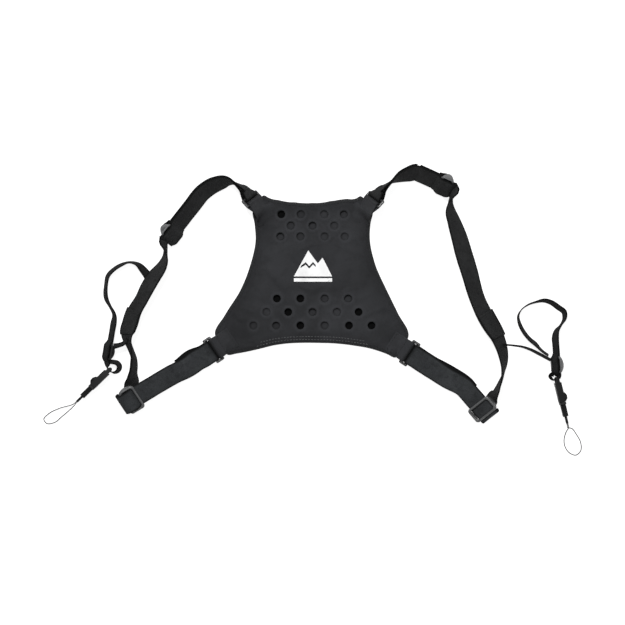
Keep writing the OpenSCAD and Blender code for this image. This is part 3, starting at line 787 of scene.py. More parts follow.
def slot_of(ring):
    """The layout point in the middle of a ring's slot."""
    return spot(ring, PITCH / 2)[:2] + ORIGIN


def swayed(part, amount, at, reach):
    """A run pushed sideways round a place along it."""
    mids, cross = part
    return mids + cross * (amount * np.exp(-((lengths(mids) - at) / reach) ** 2))[:, None], cross


def bends_at_ring(piece, ring, *nodes):
    """Hides the CAD nodes that the web stands for and bakes its placement into its points; ring is not used.
    """
    wear(piece, None, "webbing", *nodes)
    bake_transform(piece)


for n, side in enumerate(("left", "right")):
    # from the upper ring's underside through the ring, over the shoulder, to the twist
    ring, slider = side + "_upper_ring", side + "_upper_slider"
    front = RUNS[side + "_front"]
    whole = RUNS[side + "_shoulder"] + front[:1]
    mids, cross = sections(whole + front[1:])
    cut = int(np.argmin(np.linalg.norm(mids - np.array(front[0][:3]), axis=1)))
    returning = sections(shifted(whole, UPPER_SHIFTS), last=RETURN_STATIONS[side])
    down_to_twist = mids[:cut + 1], cross[:cut + 1]
    twist, slot = np.add(front[0][:2], ORIGIN), slot_of(ring)
    shoulder = Web(joined(backwards(down_to_twist), through(ring), returning), WEB_W, WEB_T, n + 0.4,
                   cups=[(twist, CUP_REACH, -CUP_DEPTH)],
                   gathers=[(twist, *TWIST_GATHER), (NECK_AT[side], *NECK_GATHER)],
                   creases=[(slot, *SLOT_CREASE), (slot, *UNDER_CREASE)])
    bends_at_ring(shoulder.piece(side + "_shoulder_web", MAT["strap"]), ring,
                  side + "_shoulder_strap", side + "_upper_return", side + "_upper_fold")

    # the shoulder run's sewn end, round the slide's middle bar
    near, far = BAR_UNDER - SEWN_MID, BAR_UNDER + SEWN_MID
    lap = line(slider, [(LAPS[side], 2.3), (LAPS[side] + 12, 2.1), (-14, near), (-0.5, near)])
    tail = line(slider, [(-0.5, far), (-4, far - 0.4), (-8, far - 2.0), (-11, near + WEB_T + 0.1)])
    end = Web(joined(lap, turn(slider, 0, BAR_UNDER, SEWN_MID, -90, 90), tail), WEB_W, WEB_T, n + 2.0, 0.1)
    sewn = wear(end.piece(side + "_slider_end_web", MAT["strap"]), None, "webbing", side + "_upper_end")
    start, end = (metres(spot(slider, d)) for d in (LAPS[side] + 1, -15))
    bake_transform(sewn)

    # from the twist down the front
    front_web = Web((mids[cut:], cross[cut:]), WEB_W, WEB_T, n + 3.1, 0.35,
                    cups=[(twist, CUP_REACH, CUP_DEPTH), *FRONT_CUPS[side]],
                    gathers=[(twist, *TWIST_GATHER), *FRONT_GATHERS[side]])
    wear(front_web.piece(side + "_front_web", MAT["strap"]), "harness", "webbing", side + "_front_strap")

    # both layers of the lower web and its turn at the lower slide
    ring, slider = side + "_lower_ring", side + "_lower_slider"
    low_run = RUNS[side + "_lower"]
    under = swayed(sections(shifted(low_run, LOWER_SHIFTS), last=UNDER_END[side]), *UNDER_SWAY[side])
    over = swayed(sections(low_run), *OVER_SWAY[side])
    bight = turn(slider, RUN_END + 0.5, UNDER / 2, -UNDER / 2, -90, 90)
    stub = line(slider, [(RUN_END + 0.4, UNDER), (RUN_END, UNDER)])
    both_layers = joined(backwards(under), through(ring), over, backwards(bight), stub)
    lower = Web(both_layers, WEB_W, WEB_T, n + 4.7, 0.2, creases=[(slot_of(ring), *SLOT_CREASE)])
    lower.shade_before(slot_of(ring), 0.97)
    bends_at_ring(lower.piece(side + "_lower_web", MAT["web"]), ring, side + "_lower_strap",
                  side + "_lower_return", side + "_lower_fold", side + "_lower_bight")

# ---- Yoke ----
YOKE_POINTS = [
    (-60, 131.5), (-63.5, 125.5), (-68.5, 116), (-66.5, 104), (-65, 84), (-70, 59), (-83, 25), (-101, -4),
    (-112, -25), (-105.5, -37), (-97.5, -48.5), (-88, -47), (-68, -43), (-40, -36.5), (0, -34.5), (40, -36.5),
    (70, -42), (86, -47.5), (95.5, -51.5), (102.5, -41), (110, -28), (98, -1), (84, 28), (71, 58), (65.5, 86),
    (66.5, 104), (69, 116), (64.5, 124.5), (59, 131.5), (55, 134), (51, 131.6), (47, 130.4), (36, 130),
    (22, 128), (0, 125.5), (-22, 126.5), (-38, 129), (-47, 130.6), (-51, 132), (-56, 134.2),
]
HOLE_ROWS = [
    (113, (-36, -13.5, 13.5, 36)), (100, (-25, 0, 25)), (87.5, (-37, -14, 14, 37)),
    (16, (-41, -14, 14, 41)), (0.5, (-53, -28, 0, 28, 53)), (-15, (-68, -42, -14, 14, 42, 68)),
]
# Holes whose floor has sunk out of the light, and holes that are half filled
DEEP_HOLES = {(-36, 113), (-41, 16), (-14, 16), (-28, 0.5), (53, 0.5), (-14, -15), (42, -15), (68, -15)}
HALF_HOLES = {(0, 100), (-42, -15), (36, 113), (-37, 87.5), (0, 0.5), (41, 16)}
EDGE_ROUND = 3.4
EDGE_Z = 2.4
SEAM_IN = 3.3
HEM_IN = 6.6
SEAM_HALF = 66
BOTTOM_Z = 1.05
# Relief of the skin: seam, hem, a vent's rim and the ridge round it, broad swell, and pleats at the corners
SEAM_DEPTH, HEM_DEPTH, RIM_DROP, RIDGE, SWELL, PLEAT = 0.45, 0.5, 0.75, 0.4, 0.22, 0.55
# Walls below the skin's loops, as rings of (share out, height)
EDGE_WALL = [(0.55, 1.9), (0.5, 1.35)]
VENT_WALL = [(0.12, 5.7), (0.0, 5.2), (0.25, 4.9), (0.25, 1.6)]
# Heights of the floors in deep, half filled and filled vents, and of their undersides
DEEP_Z, HALF_Z, FILLED_Z, UNDER_Z = 1.6, 2.8, 4.7, 1.02
GRID = 2.5

# Points round a hole, radii of the skin's loops round it, and how far off its centre the grid begins
RIM = 28
RIM_LOOPS = (HOLE_R, 5.1, 6.1)
GRID_CLEAR = 7.6
# The skin's loops inside its outline
EDGE_LOOPS = (0.6, 1.5, 2.6, SEAM_IN + 0.6)
# Corners that pleat: centre and the direction of the first pleat. Places painted darker as painted shade:
# centre and reach.
PLEATS = ((-62, 122, -50), (62, 122, 230))
SHADED_SPOTS = ((-92, -24, 36), (90, -28, 34), (-60, 118, 24), (60, 118, 24))
# A vent floor's dome: radius and rise of each ring
DOME_RINGS = ((HOLE_R + 0.1, -0.5), (HOLE_R - 0.25, -0.25), (3.2, -0.05), (1.6, 0.12))
LINING_IN = 0.35


def closed_curve(points, step):
    """A closed curve through plan points."""
    p = [(*q, 0, 0, 0) for q in points]
    q = [p[-2], p[-1], *p, p[0], p[1], p[2]]
    return smooth(q, step, 2, len(q) - 3)[:-1, :2]


def inside(points, loop):
    """Which points lie within a closed outline."""
    x, y = points[:, 0][:, None], points[:, 1][:, None]
    ax, ay = loop[:, 0], loop[:, 1]
    bx, by = np.roll(ax, -1), np.roll(ay, -1)
    crosses = (ay > y) != (by > y)
    with np.errstate(divide="ignore", invalid="ignore"):
        left = x < (bx - ax) * (y - ay) / (by - ay) + ax
    return np.sum(crosses & left, axis=1) % 2 == 1


def distance(points, loop):
    """How far points are from a closed outline."""
    a, b = loop, np.roll(loop, -1, axis=0)
    best = np.full(len(points), 1e9)
    for p, q in zip(a, b):
        d = q - p
        t = np.clip(((points - p) @ d) / (d @ d), 0, 1)
        best = np.minimum(best, np.linalg.norm(points - p - t[:, None] * d, axis=1))
    return best


def inwards(loop, d):
    """A closed line moved inwards by d, which may vary along it."""
    way = unit(np.roll(loop, -1, axis=0) - np.roll(loop, 1, axis=0))
    return loop + np.reshape(d, (-1, 1)) * np.stack([-way[:, 1], way[:, 0]], axis=1)


def from_hole(points):
    """How far plan points are from the nearest hole's centre."""
    return np.min(np.linalg.norm(points[:, None] - holes[None], axis=2), axis=1)


def edges_of(loops):
    """Edges of closed loops whose points follow each other in one list."""
    edges = []
    for loop in loops:
        start, n = len(edges), len(loop)
        edges += [(start + i, start + (i + 1) % n) for i in range(n)]
    return edges


def triangles(points, edges):
    """Plan points joined into triangles that keep the edges."""
    made = delaunay_2d_cdt([Vector(p) for p in points], edges, [], 0, 1e-6)
    return np.array([tuple(v) for v in made[0]]), np.array([f for f in made[2] if len(f) == 3])


def numbers_of(loop, points):
    """Which of the points lie on a loop."""
    return [int(np.argmin(np.linalg.norm(points - p, axis=1))) for p in loop]


def shell(tris, count):
    """Triangles of an upper side, and of an under side that is numbered from count."""
    return [tuple(t) for t in tris] + [tuple(count + t[::-1]) for t in tris]


outline = closed_curve(YOKE_POINTS, GRID)
holes = np.array([(x, y) for y, row in HOLE_ROWS for x in row], float)
run = np.arange(len(outline)) * GRID
near_top = np.clip((outline[:, 1] - 118) / 8, 0, 1)
outline = inwards(outline, near_top * 0.5 * ripple(run * 2.2, 0.9) + 0.15 * ripple(run, 2.2))
circle_at = [np.stack([np.cos(circle(RIM)), np.sin(circle(RIM))], axis=1) * r for r in RIM_LOOPS]


def skin_plan():
    """Points and triangles of the skin in plan: outline, hole rims, and a fine grid between."""
    loops = [outline] + [h + circle_at[0] for h in holes]
    extra = [inwards(outline, d) for d in EDGE_LOOPS]
    extra += [h + circle_at[k] for h in holes for k in (1, 2)]
    low, high = outline.min(0), outline.max(0)
    rows = []
    for j, y in enumerate(np.arange(low[1], high[1], GRID * 0.866)):
        xs = np.arange(low[0], high[0], GRID) + (GRID / 2 if j % 2 else 0)
        rows.append(np.stack([xs, np.full(len(xs), y)], axis=1))
    grid = np.vstack(rows)
    grid = grid[inside(grid, outline)]
    grid = grid[distance(grid, outline) > SEAM_IN + 2.0]
    verts, faces = triangles(np.vstack([*loops, *extra, grid[from_hole(grid) > GRID_CLEAR]]), edges_of(loops))
    mid = verts[faces].mean(axis=1)
    kept = inside(mid, outline) & (from_hole(mid) > HOLE_R * 0.985)
    return verts, faces[kept], sum(map(len, loops))


def soft_top(plan):
    """Height of the skin: rounded edge, sewn groove and hem, rims that roll in, and broad unevenness."""
    d = distance(plan, outline)
    x, y = plan[:, 0], plan[:, 1]
    share = np.clip(d / EDGE_ROUND, 0, 1)
    z = EDGE_Z + (SKIN_TOP - 0.25 - EDGE_Z) * np.sqrt(1 - (1 - share) ** 2)
    z -= SEAM_DEPTH * np.exp(-((d - SEAM_IN) / 0.8) ** 2)
    low = np.clip((-8 - y) / 10, 0, 1) * np.clip((78 - np.abs(x)) / 12, 0, 1)
    z -= low * HEM_DEPTH * np.exp(-((d - HEM_IN) / 0.8) ** 2)
    z += low * 0.25 * np.exp(-((d - (SEAM_IN + HEM_IN) / 2) / 1.1) ** 2)
    r = from_hole(plan)
    z -= RIM_DROP * np.clip((6.3 - r) / (6.3 - HOLE_R), 0, 1) ** 2
    z += RIDGE * np.exp(-((r - 7.0) / 1.0) ** 2)
    wide = np.sin(x / 31 + 0.7) * np.sin(y / 37 + 1.9) + 0.6 * np.sin(x / 17 - y / 23 + 0.4)
    z += SWELL * wide * np.clip((d - 4) / 12, 0, 1)
    for cx, cy, way in PLEATS:
        gone = np.hypot(x - cx, y - cy)
        pleats = np.cos((np.arctan2(y - cy, x - cx) - math.radians(way)) * 9)
        z += PLEAT * pleats * np.exp(-gone / 15) * np.clip(gone / 6, 0, 1) * np.clip((d - 1.5) / 4, 0, 1)
    return z


plan, tris, fixed = skin_plan()
top = np.column_stack([plan - ORIGIN, soft_top(plan)])
CLOTH_CAP = 1.1
CLOTH_FRAMES = 18


def settle(points, faces):
    """Swells the skin a little between its seams with Blender's cloth, and returns the new points."""
    sheet = build("skin_sim", points, faces, MAT["skin"])
    group = sheet.vertex_groups.new(name="held")
    for i in np.flatnonzero((distance(plan, outline) < SEAM_IN + 0.3) | (from_hole(plan) < 5.4)):
        group.add([int(i)], 1.0, "REPLACE")
    cloth = sheet.modifiers.new("cloth", "CLOTH")
    s = cloth.settings
    s.quality, s.mass, s.tension_stiffness, s.bending_stiffness = 5, 0.12, 12, 0.35
    s.vertex_group_mass = "held"
    s.shrink_min = -0.018
    s.use_pressure, s.uniform_pressure_force = True, 0.35
    s.effector_weights.gravity = 0
    scene = bpy.context.scene
    for f in range(1, CLOTH_FRAMES + 1):
        scene.frame_set(f)
    shown = sheet.evaluated_get(bpy.context.evaluated_depsgraph_get()).to_mesh()
    moved = np.array([v.co for v in shown.vertices]) / MM
    scene.frame_set(1)
    bpy.data.objects.remove(sheet)
    step = moved - points
    size = np.linalg.norm(step, axis=1)[:, None]
    return points + step * np.minimum(1, CLOTH_CAP / np.maximum(size, 1e-9))


top = settle(top, tris)

# The pad is closed: skin, side wall, walls of the holes, and a flat back on the lining.
count = len(top)
points = [top, np.column_stack([top[:, :2], np.full(count, BOTTOM_Z)])]
faces = shell(tris, count)
kinds = [0] * len(tris) + [1] * len(tris)


def wall(loop, rings, kind_of):
    """Wall down from a loop of the skin to the back, through rings; kind_of is each band's material."""
    loop_ids = numbers_of(loop, plan)
    n = len(loop_ids)
    ids = [loop_ids]
    for share, height in rings:
        total = sum(map(len, points))
        points.append(np.column_stack([inwards(top[loop_ids, :2], -share), np.full(n, height)]))
        ids.append(list(range(total, total + n)))
    ids.append([count + i for i in loop_ids])
    for level, (a, b) in enumerate(zip(ids, ids[1:])):
        faces.extend((a[i], b[i], b[(i + 1) % n], a[(i + 1) % n]) for i in range(n))
        kinds.extend([kind_of[level]] * n)


wall(outline, EDGE_WALL, [0, 0, 0])
for h in holes:
    wall((h + circle_at[0])[::-1], VENT_WALL, [0, 0, 1, 1, 1])
points = np.vstack(points)
pad = build("yoke_pad", points, faces, MAT["skin"], extra=[MAT["foam"]], face_mats=kinds)
everywhere = points[:, :2] + ORIGIN
from_edge = distance(everywhere, outline)
# Painted shade: darker within 24 mm of the outline, round the shaded spots by the corners, and in a thin dark
# line at the outline
painted_highlight_and_shade = 0.4 * np.clip(1 - from_edge / 24, 0, 1) ** 1.5
for cx, cy, reach in SHADED_SPOTS:
    gone = np.hypot(everywhere[:, 0] - cx, everywhere[:, 1] - cy)
    painted_highlight_and_shade = np.maximum(painted_highlight_and_shade, 0.42 * np.clip(1 - gone / reach, 0, 1))
painted_highlight_and_shade = np.maximum(painted_highlight_and_shade, np.clip(1.25 - from_edge / 1.6, 0, 1))
shade(pad, "edge", painted_highlight_and_shade)
# Painted highlight: a lighter ring round each vent, just outside its rim
shade(pad, "vent_rim_highlight", 0.55 * np.exp(-((from_hole(everywhere) - 5.7) / 0.8) ** 2))
wear(pad, "harness", "skin_fabric", "outer_skin", "foam_pad")
skin_tree = BVHTree.FromPolygons([Vector(p) for p in top], [tuple(map(int, t)) for t in tris])


def on_skin(x, y, lift=0.0):
    """The skin's point over a plan position, and the way out of it."""
    hit, normal, *_ = skin_tree.ray_cast(Vector((x - ORIGIN[0], y - ORIGIN[1], 60)), Vector((0, 0, -1)))
    if hit is None:
        hit, normal, *_ = skin_tree.find_nearest(Vector((x - ORIGIN[0], y - ORIGIN[1], 6)))
    normal = np.array(normal) * (1 if normal.z > 0 else -1)
    return np.array(hit) + normal * lift, normal


# Lining under the pad, a little proud of it at the edge
lining_loop = inwards(outline, LINING_IN)
lining_plan = np.vstack([lining_loop, plan[fixed:][distance(plan[fixed:], outline) > 1.2]])
flat, sheet_tris = triangles(lining_plan, edges_of([lining_loop]))
sheet_tris = sheet_tris[inside(flat[sheet_tris].mean(axis=1), lining_loop)]
edge = distance(flat, lining_loop)
hem = 0.35 * np.clip(1 - edge / 1.5, 0, 1) ** 2
upper = np.column_stack([flat - ORIGIN, 1.0 - hem])
under = np.column_stack([flat - ORIGIN, 0.12 + hem + 0.3 * np.exp(-((edge - SEAM_IN) / 0.9) ** 2)])
m = len(flat)
rim = numbers_of(lining_loop, flat)
lining_faces = shell(sheet_tris, m) + [(a, m + a, m + b, b) for a, b in zip(rim, rim[1:] + rim[:1])]
lining = build("yoke_lining", np.vstack([upper, under]), lining_faces, MAT["lining"])
wear(lining, "harness", "lining_mesh", "lining")
low, high = lining_loop.min(0), lining_loop.max(0)

# A soft dome in each hole, at its own height
domes, dome_faces, dome_kinds, floor_shade = [], [], [], []
for x, y in holes:
    deep = (x, y) in DEEP_HOLES
    height = DEEP_Z if deep else HALF_Z if (x, y) in HALF_HOLES else FILLED_Z
    cx, cy = x - ORIGIN[0], y - ORIGIN[1]
    depth_shade = 0.12 + 0.12 * math.sin(x * 1.7 + y)
    start = len(domes)
    for r, dz in DOME_RINGS:
        for a in circle(RIM):
            lean = 0.17 * math.sin(a * 2 + x) - 0.55 * math.sin(a + 0.5 * math.sin(x))
            domes.append((cx + r * math.cos(a), cy + r * math.sin(a), height + dz + lean * r / HOLE_R))
            north = 0.5 + 0.5 * math.sin(a + 0.6 * math.sin(x + y))
            floor_shade.append(depth_shade + 0.75 * north * (r / HOLE_R) ** 2)
    tip = len(domes)
    base = tip + 1
    domes.append((cx, cy, height + 0.18))
    r = DOME_RINGS[0][0]
    domes += [(cx + r * math.cos(a), cy + r * math.sin(a), UNDER_Z) for a in circle(RIM)]
    floor_shade += [depth_shade] * (RIM + 1)
    dome_faces += bands(start, len(DOME_RINGS), RIM)
    dome_faces += [(tip - RIM + j, tip - RIM + (j + 1) % RIM, tip) for j in range(RIM)]
    dome_faces += [(base + j, base + (j + 1) % RIM, start + (j + 1) % RIM, start + j) for j in range(RIM)]
    dome_faces.append(tuple(base + j for j in range(RIM - 1, -1, -1)))
    dome_kinds += [int(deep)] * (len(dome_faces) - len(dome_kinds))
floors = build("vent_floors", domes, dome_faces, MAT["skin"], extra=[MAT["pit"]], face_mats=dome_kinds)
shade(floors, "edge", floor_shade)
wear(floors, "harness", "foam")


def seam_row(loop):
    """A row of stitches over plan points of the skin."""
    return [on_skin(x, y, 0.05) for x, y in loop]


def along_bottom(loop, half):
    """The stretch of a closed line near the yoke's bottom edge, from left to right."""
    low = loop[(loop[:, 1] < -20) & (np.abs(loop[:, 0]) < half)]
    return seam_row(low[np.argsort(low[:, 0])])


seam = inwards(outline, SEAM_IN)
first = int(np.argmax(np.hypot(seam[:, 0] - SEAM_HALF, seam[:, 1] + 40) < 6))
upper_seam = np.roll(seam, -first, axis=0)
upper_seam = upper_seam[(upper_seam[:, 1] > -20) | (np.abs(upper_seam[:, 0]) > SEAM_HALF)]
stitches("yoke_stitches", [seam_row(upper_seam)], "skin_fabric")
hem_rows = [along_bottom(seam, SEAM_HALF), along_bottom(inwards(outline, HEM_IN), SEAM_HALF - 4)]
stitches("hem_stitches", hem_rows, "skin_fabric", "thread", 0.31)
under_row = [(np.array([*(p - ORIGIN), 0.42]), np.array([0, 0, -1.0])) for p in seam]
stitches("lining_stitches", [under_row + under_row[:1]], "lining_mesh", "thread", 0.2)

# ---- Printed badge: two peaks with snow lines on a bar ----
BADGE_AT, BADGE_W, BADGE_H, BAR_H = (0.6, 53.5), 44.0, 36.0, 4.0


def badge_shapes():
    """Plan outlines of the bar, the peaks and the snow line."""
    half, peak = BADGE_W / 2, BADGE_H - BAR_H - 2
    y0 = BADGE_AT[1] - BADGE_H / 2
    bar = [(-half, 0), (half, 0), (half, BAR_H), (-half, BAR_H)]
    peaks = [(-half, 0), (half, 0), (half / 2, peak * 0.72), (half / 4, peak * 0.5), (-half / 4, peak)]
    snow = [(half * u, peak * v) for u, v in (
        (-0.62, 0.42), (-0.38, 0.55), (-0.2, 0.4), (0, 0.56), (0.14, 0.44),
        (0.14, 0.36), (0, 0.46), (-0.2, 0.3), (-0.38, 0.45), (-0.66, 0.32))]

    def moved(shape, up):
        return np.array([(BADGE_AT[0] + x, y0 + up + y) for x, y in shape])

    return moved(bar, 0), moved(peaks, BAR_H + 2), moved(snow, BAR_H + 2)


def cut_out(shape, gap, name):
    """A thin print over part of the skin: shape less gap, if there is one."""

    def dense(loop):
        out = []
        for a, b in zip(loop, np.roll(loop, -1, axis=0)):
            n = max(1, int(np.linalg.norm(b - a) / 0.9))
            out += [a + (b - a) * k / n for k in range(n)]
        return np.array(out)

    loops = [dense(shape)] + ([dense(gap)] if gap is not None else [])
    low, high = shape.min(0), shape.max(0)
    gx, gy = np.meshgrid(np.arange(low[0] + 0.8, high[0], 1.6), np.arange(low[1] + 0.8, high[1], 1.6))
    grid = np.stack([gx.ravel(), gy.ravel()], axis=1)
    grid = grid[inside(grid, shape)]
    grid = grid[np.min(np.stack([distance(grid, loop) for loop in loops]), axis=0) > 0.5]
    v, f = triangles(np.vstack([*loops, grid]), edges_of(loops))
    mid = v[f].mean(axis=1)
    f = f[inside(mid, shape) & (~inside(mid, gap) if gap is not None else True)]
    used, f = np.unique(f, return_inverse=True)
    f, v = f.reshape(-1, 3), v[used]
    n = len(v)
    points = [on_skin(x, y, lift)[0] for lift in (0.14, -0.1) for x, y in v]
    sides = dict.fromkeys((t[i], t[(i + 1) % 3]) for t in f for i in range(3))
    faces = shell(f, n) + [(b, a, n + a, n + b) for a, b in sides if (b, a) not in sides]
    return wear(build(name, points, faces, MAT["print"], flat=True), "harness", "print")


bar_shape, peak_shape, snow_shape = badge_shapes()
cut_out(bar_shape, None, "badge_bar")
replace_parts(cut_out(peak_shape, snow_shape, "badge_peaks"), "emblem")


# ---- Tabs that hold the rings ----
def row_on(strip, s_from, s_to, a, b):
    """A row of stitches on a web, from one place along and across it to another."""
    count = 12 if a != b else max(3, int(abs(s_to - s_from)))
    return [strip.at(s, side) for s, side in zip(np.linspace(s_from, s_to, count), np.linspace(a, b, count))]


def box_on(strip, s_from, s_to, half):
    """The two long rows of a sewn box."""
    return [row_on(strip, s_from, s_to, side, side) for side in (half, -half)]


# Distances back from the ring, and for the two stations on the skin their rise and share of the ring's roll
TAB_REACH = {"upper": (27.0, 20.0, 11.5), "lower": (23.0, 16.0, 9.5)}
TAB_RISE = {"upper": (-1.3, 0.9), "lower": (0.55, 0.6)}
TAB_ROLL = (0.0, 0.25)
TAB_T = 1.5
TAB_SEAM, TAB_IN = 10.8, 2.2
for side in ("left", "right"):
    for level in ("upper", "lower"):
        ring = f"{side}_{level}_ring"
        roll = FRAMES[ring][4]
        near = TAB_REACH[level][2]
        stations = []
        for reach, rise, share in zip(TAB_REACH[level], TAB_RISE[level], TAB_ROLL):
            x, y, _ = spot(ring, -reach)
            stations.append([x, y, on_skin(x + ORIGIN[0], y + ORIGIN[1])[0][2] + rise, roll * share, 0])
        stations += [on(ring, -near, 0.8), on(ring, -near + 2.5, 0.95), on(ring, -1.2, 2.55)]
        below = [on(ring, -near - 3, -1.4), on(ring, -near, -0.85), on(ring, -near + 2.5, -0.95),
                 on(ring, -1.2, -2.55)]
        path = joined(sections(stations, 1.5), turn(ring, 0, 0, SNUG_MID, 98, -98),
                      backwards(sections(below, 1.5)))
        upper = level == "upper"
        wide = ([0, 0.3, 0.5, 1], [1.22, 1.12, 1, 1]) if upper else ([0, 1], [1, 1])
        tab = Web(path, WEB_W, TAB_T, len(ring) + roll, 0.5 if upper else 0.3, wide,
                  creases=[(slot_of(ring), *SLOT_CREASE)])
        cloth = tab.piece(f"{side}_{level}_tab_web", MAT["skin"])
        wear(cloth, "harness", "skin_fabric", f"{side}_{level}_tab")
        if not upper:
            far = TAB_REACH[level][0] - 7
            rows = [row_on(tab, s, s, -TAB_SEAM, TAB_SEAM) for s in (far, TAB_IN)]
            rows += box_on(tab, TAB_IN, far, TAB_SEAM)
            stitches(f"{side}_{level}_tab_stitches", rows, "skin_fabric")

# ---- Patches on the front straps ----
PATCH = {"left": (6, 8), "right": (8, 10)}
PATCH_LIFT, PATCH_T, PATCH_SEAM, PATCH_IN = 1.42, 1.25, 9.8, 2.4
for n, side in enumerate(("left", "right")):
    path = sections(shifted(RUNS[side + "_front"], [PATCH_LIFT]), 2.0, *PATCH[side])
    strip = Web(path, WEB_W + 1.8, PATCH_T, n + 6.0, 0.3)
    wear(strip.piece(side + "_patch_web", MAT["strap"]), "harness", "webbing", side + "_patch")
    low, high, half = PATCH_IN, strip.run[-1] - PATCH_IN, PATCH_SEAM
    box = box_on(strip, low, high, half)
    for s_from, s_to, a in ((low, low, -half), (high, high, -half), (low, high, -half), (low, high, half)):
        box.append(row_on(strip, s_from, s_to, a, -a))
    stitches(side + "_patch_stitches", box, "webbing")


# ---- Tethers ----
def eye_arc(name, start, stop, count):
    """Stations of thin web round the eye of a clip."""
    f = FRAMES[name]
    return [[f[0] + EYE_TURN * math.cos(v), f[1] + EYE_TURN * math.sin(v), f[2], 90, 0]
            for v in np.radians(np.linspace(start, stop, count + 1))]


TETHER_TAILS = {
    "left": [thin(-236.2, -59.6, 46, 2.2)] + eye_arc("left_clip", 180, 276, 4) + [
        thin(-228.5, -69.2, 76, 1.4), thin(-224, -67, 64, 0.8), thin(-222.3, -62, 58, 0.3),
        thin(-225.2, -58, 58, 0.6), thin(-229.6, -57, 62, 1), thin(-233.2, -56.4, 62, 2)],
    "right": eye_arc("right_clip", 0, -135, 5) + [
        thin(275.6, -76.6, 74, 1.2), thin(273.4, -73.4, 64, 0.6), thin(275.6, -71.2, 60, 0.6),
        thin(278, -71.6, 62, 1)],
}
LEADS = {
    "left": [thin(-212.5, -31.5, 62, 7), thin(-218, -36, 60, 6.4), thin(-222.6, -37.6, 58, 6),
             thin(-228.5, -38.9, 50, 6)],
    "right": [thin(218.6, -36.8, 84, 5.5), thin(233, -38.2, 82, 4), thin(242, -39.6, 80, 1),
              thin(251, -42.6, 76), thin(260.5, -47.4, 74), thin(265.4, -50, 74), thin(274.6, -55, 74)],
}
LEAD_BLEND = {"left": (0, 2), "right": (2, 5)}
for n, side in enumerate(("left", "right")):
    path = sections(RUNS[side + "_tether"] + TETHER_TAILS[side], 1.2)
    tether = Web(path, THIN_W, THIN_T, n + 8.3, 0.12).piece(side + "_tether_web", MAT["thin"], THIN_SPANS)
    wear(tether, "harness", "tether_webbing", side + "_tether_loop")
    path = sections(LEADS[side], 1.2)
    lead = Web(path, THIN_W, THIN_T, n + 9.9, 0.08).piece(side + "_lead_web", MAT["thin"], THIN_SPANS)
    wear(lead, None, "tether_webbing", side + "_tether_lead", side + "_tether_end")
    start, end = (metres(LEADS[side][i][:3]) for i in LEAD_BLEND[side])
    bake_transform(lead)

# ---- Moulded parts ----
RIM_SIDES, BAR_SIDES, BAR_ROWS, CHEEK_STEPS = 10, 12, 9, 15


def rounded_loop(half_l, half_w, corner, steps=7):
    """A rectangle with round corners, anticlockwise, as rows of x, y and the outward direction."""
    rows = []
    for cx, cy, first in ((1, 1, 0), (-1, 1, 90), (-1, -1, 180), (1, -1, 270)):
        for a in np.radians(np.linspace(first, first + 90, steps)):
            u, v = math.cos(a), math.sin(a)
            rows.append((cx * (half_l - corner) + corner * u, cy * (half_w - corner) + corner * v, u, v))
    return rows


def slide_frame(name, width, thick, length, bar_r, rail, over, finish):
    """A three-bar slide: a rounded rim above the web, cheeks at its sides, and the middle bar under it."""
    heading, roll = FRAMES[name][3:]
    ex, ey, ez = turned(heading, roll + (180 if over else 0))
    base = np.array(FRAMES[name][:3])
    high = thick / 2 + BAR_GAP + bar_r
    low = -BAR_UNDER if over else -high
    inner = width / 2 + 0.4

    # rim: a round-edged section led round the rectangle
    points = []
    loop = rounded_loop(length / 2 - bar_r, inner + rail / 2, 3.4)
    for x, y, u, v in loop:
        for a in circle(RIM_SIDES):
            out = (bar_r * abs(u) + rail / 2 * abs(v)) * math.cos(a)
            points.append((x + u * out, y + v * out, high + bar_r * 0.95 * math.sin(a)))
    faces = bands(0, len(loop), RIM_SIDES, flip=True, closed=True)

    # middle bar, with its ends buried in the cheeks
    start = len(points)
    for y in np.linspace(-inner - rail * 0.6, inner + rail * 0.6, BAR_ROWS):
        points += [(bar_r * math.cos(a), y, low + bar_r * math.sin(a)) for a in circle(BAR_SIDES)]
    faces += bands(start, BAR_ROWS, BAR_SIDES, flip=True) + ends(start, BAR_ROWS, BAR_SIDES)

    # cheeks: half lenses that hang from the rim and carry the bar
    for side in (-1, 1):
        start = len(points)
        for share, out in ((0.86, 0), (1.0, 0.25), (1.0, 0.75), (0.86, 1)):
            y = inner + rail * out
            half = (length / 2 - 1.1) * share
            foot = high - (high - low + bar_r) * share
            points += [(half * t, side * y, high + 0.1) for t in np.linspace(-1, 1, CHEEK_STEPS)]
            for t in np.linspace(1, -1, CHEEK_STEPS):
                points.append((half * t, side * y, high - 0.2 - (high - 0.2 - foot) * (1 - abs(t) ** 2.2)))
        lens = bands(start, 4, 2 * CHEEK_STEPS) + ends(start, 4, 2 * CHEEK_STEPS)
        faces += lens if side > 0 else [face[::-1] for face in lens]
    points = [base + x * ex + y * ey + z * ez for x, y, z in points]
    piece = build(name + "_frame", points, faces, MAT[finish])
    soften(piece, 0.00035, 2, 50)
    wear(piece, name, "acetal", name)


# Width and thickness of the web, length, radius of the bars, and width of the rail at the sides
SLIDES = {
    "upper": (WEB_W, WEB_T, 16, UPPER_BAR_R, 2.2),
    "lower": (WEB_W, WEB_T, 19, 1.4, 2.9),
    "tether": (THIN_W, THIN_T, 20, 1.1, 2.2),
}
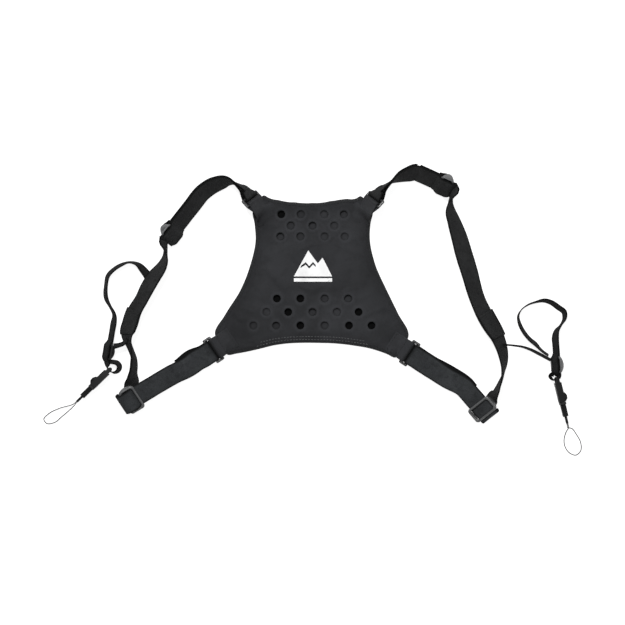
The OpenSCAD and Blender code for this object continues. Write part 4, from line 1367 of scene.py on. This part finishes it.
# The web's stretch over the end bars travels with the slide; (along, off) points, width, thickness, material
OVER_BARS = {
    "upper": ([(-12.5, -0.95), (-10.2, -1.3), (-8.0, -3.3), (-6.4, -4.35), (0, -4.2), (6.4, -4.35),
               (8.0, -3.3), (9.8, -1.4), (11.2, -0.95)], WEB_W, 1.3, "strap"),
    "lower": ([(-5.6, 0.95), (-4.6, 1.6), (-3.2, 3.2), (-1, 4.4), (4, 4.8), (8.6, 4.8), (11.2, 3.6),
               (12.8, 1.7), (13.6, 0.75)], WEB_W + 0.6, 1.3, "web"),
    "tether": ([(-13, 0.75), (-11.8, 1.0), (-10, 2.6), (-8.6, 3.75), (0, 3.6), (8.6, 3.75), (10, 2.6),
                (11.6, 0.9)], THIN_W, 1.0, "thin"),
}
RING_BEVEL = 0.0002
CLIP_BEVELS = {"clip_socket": 0.0005, "clip_plug": 0.0005, "clip_latch": 0.0004, "cord_sleeve": 0.0002}
for side in ("left", "right"):
    for level in ("upper", "lower"):
        paint_node(f"{side}_{level}_ring", "gloss", RING_BEVEL)
    for level, sizes in SLIDES.items():
        finish = "clip" if (side, level) == ("left", "tether") else "plastic"
        slide_frame(f"{side}_{level}_slider", *sizes, level == "upper", finish)
    for level, (points, width, thick, material) in OVER_BARS.items():
        if (side, level) != ("right", "lower"):
            name = f"{side}_{level}_slider"
            slot, spans = ("tether_webbing", THIN_SPANS) if material == "thin" else ("webbing", WEB_SPANS)
            cover = Web(line(name, points), width, thick, len(name) * 0.7, 0.15)
            wear(cover.piece(f"{side}_{level}_slide_web", MAT[material], spans), name, slot)
    for part, bevel in CLIP_BEVELS.items():
        paint_node(f"{side}_{part}", "clip", bevel)

# ---- Light and floor ----
FLOOR_HALF, FLOOR_Z = 9000, -0.6


def area(name, where, size, power):
    """A round soft light that looks at the part's middle."""
    data = bpy.data.lights.new(name, "AREA")
    data.shape, data.size, data.energy = "DISK", size, power
    lamp = bpy.data.objects.new(name, data)
    lamp.location = where
    lamp.rotation_euler = (-Vector(where)).to_track_quat("-Z", "Y").to_euler()
    bpy.context.scene.collection.objects.link(lamp)


area("key", (-0.35, 1.05, 2.1), 0.6, 62)
area("fill", (0.5, -0.3, 2.3), 1.2, 18)
world = bpy.data.worlds.new("studio")
bpy.context.scene.world = world
world.use_nodes = True
world.node_tree.nodes["Background"].inputs[0].default_value = (1, 1, 1, 1)
world.node_tree.nodes["Background"].inputs[1].default_value = 0.28
bpy.context.scene.view_settings.view_transform = "Standard"

paint = Paint("floor", Base_Color=(0.3, 0.3, 0.3, 1), Roughness=0.9, Emission_Color=(1, 1, 1, 1),
              Emission_Strength=0.84)
corners = [(x * FLOOR_HALF, y * FLOOR_HALF, FLOOR_Z) for x, y in ((-1, -1), (1, -1), (1, 1), (-1, 1))]
build("floor", corners, [(0, 1, 2, 3)], paint.mat, flat=True)
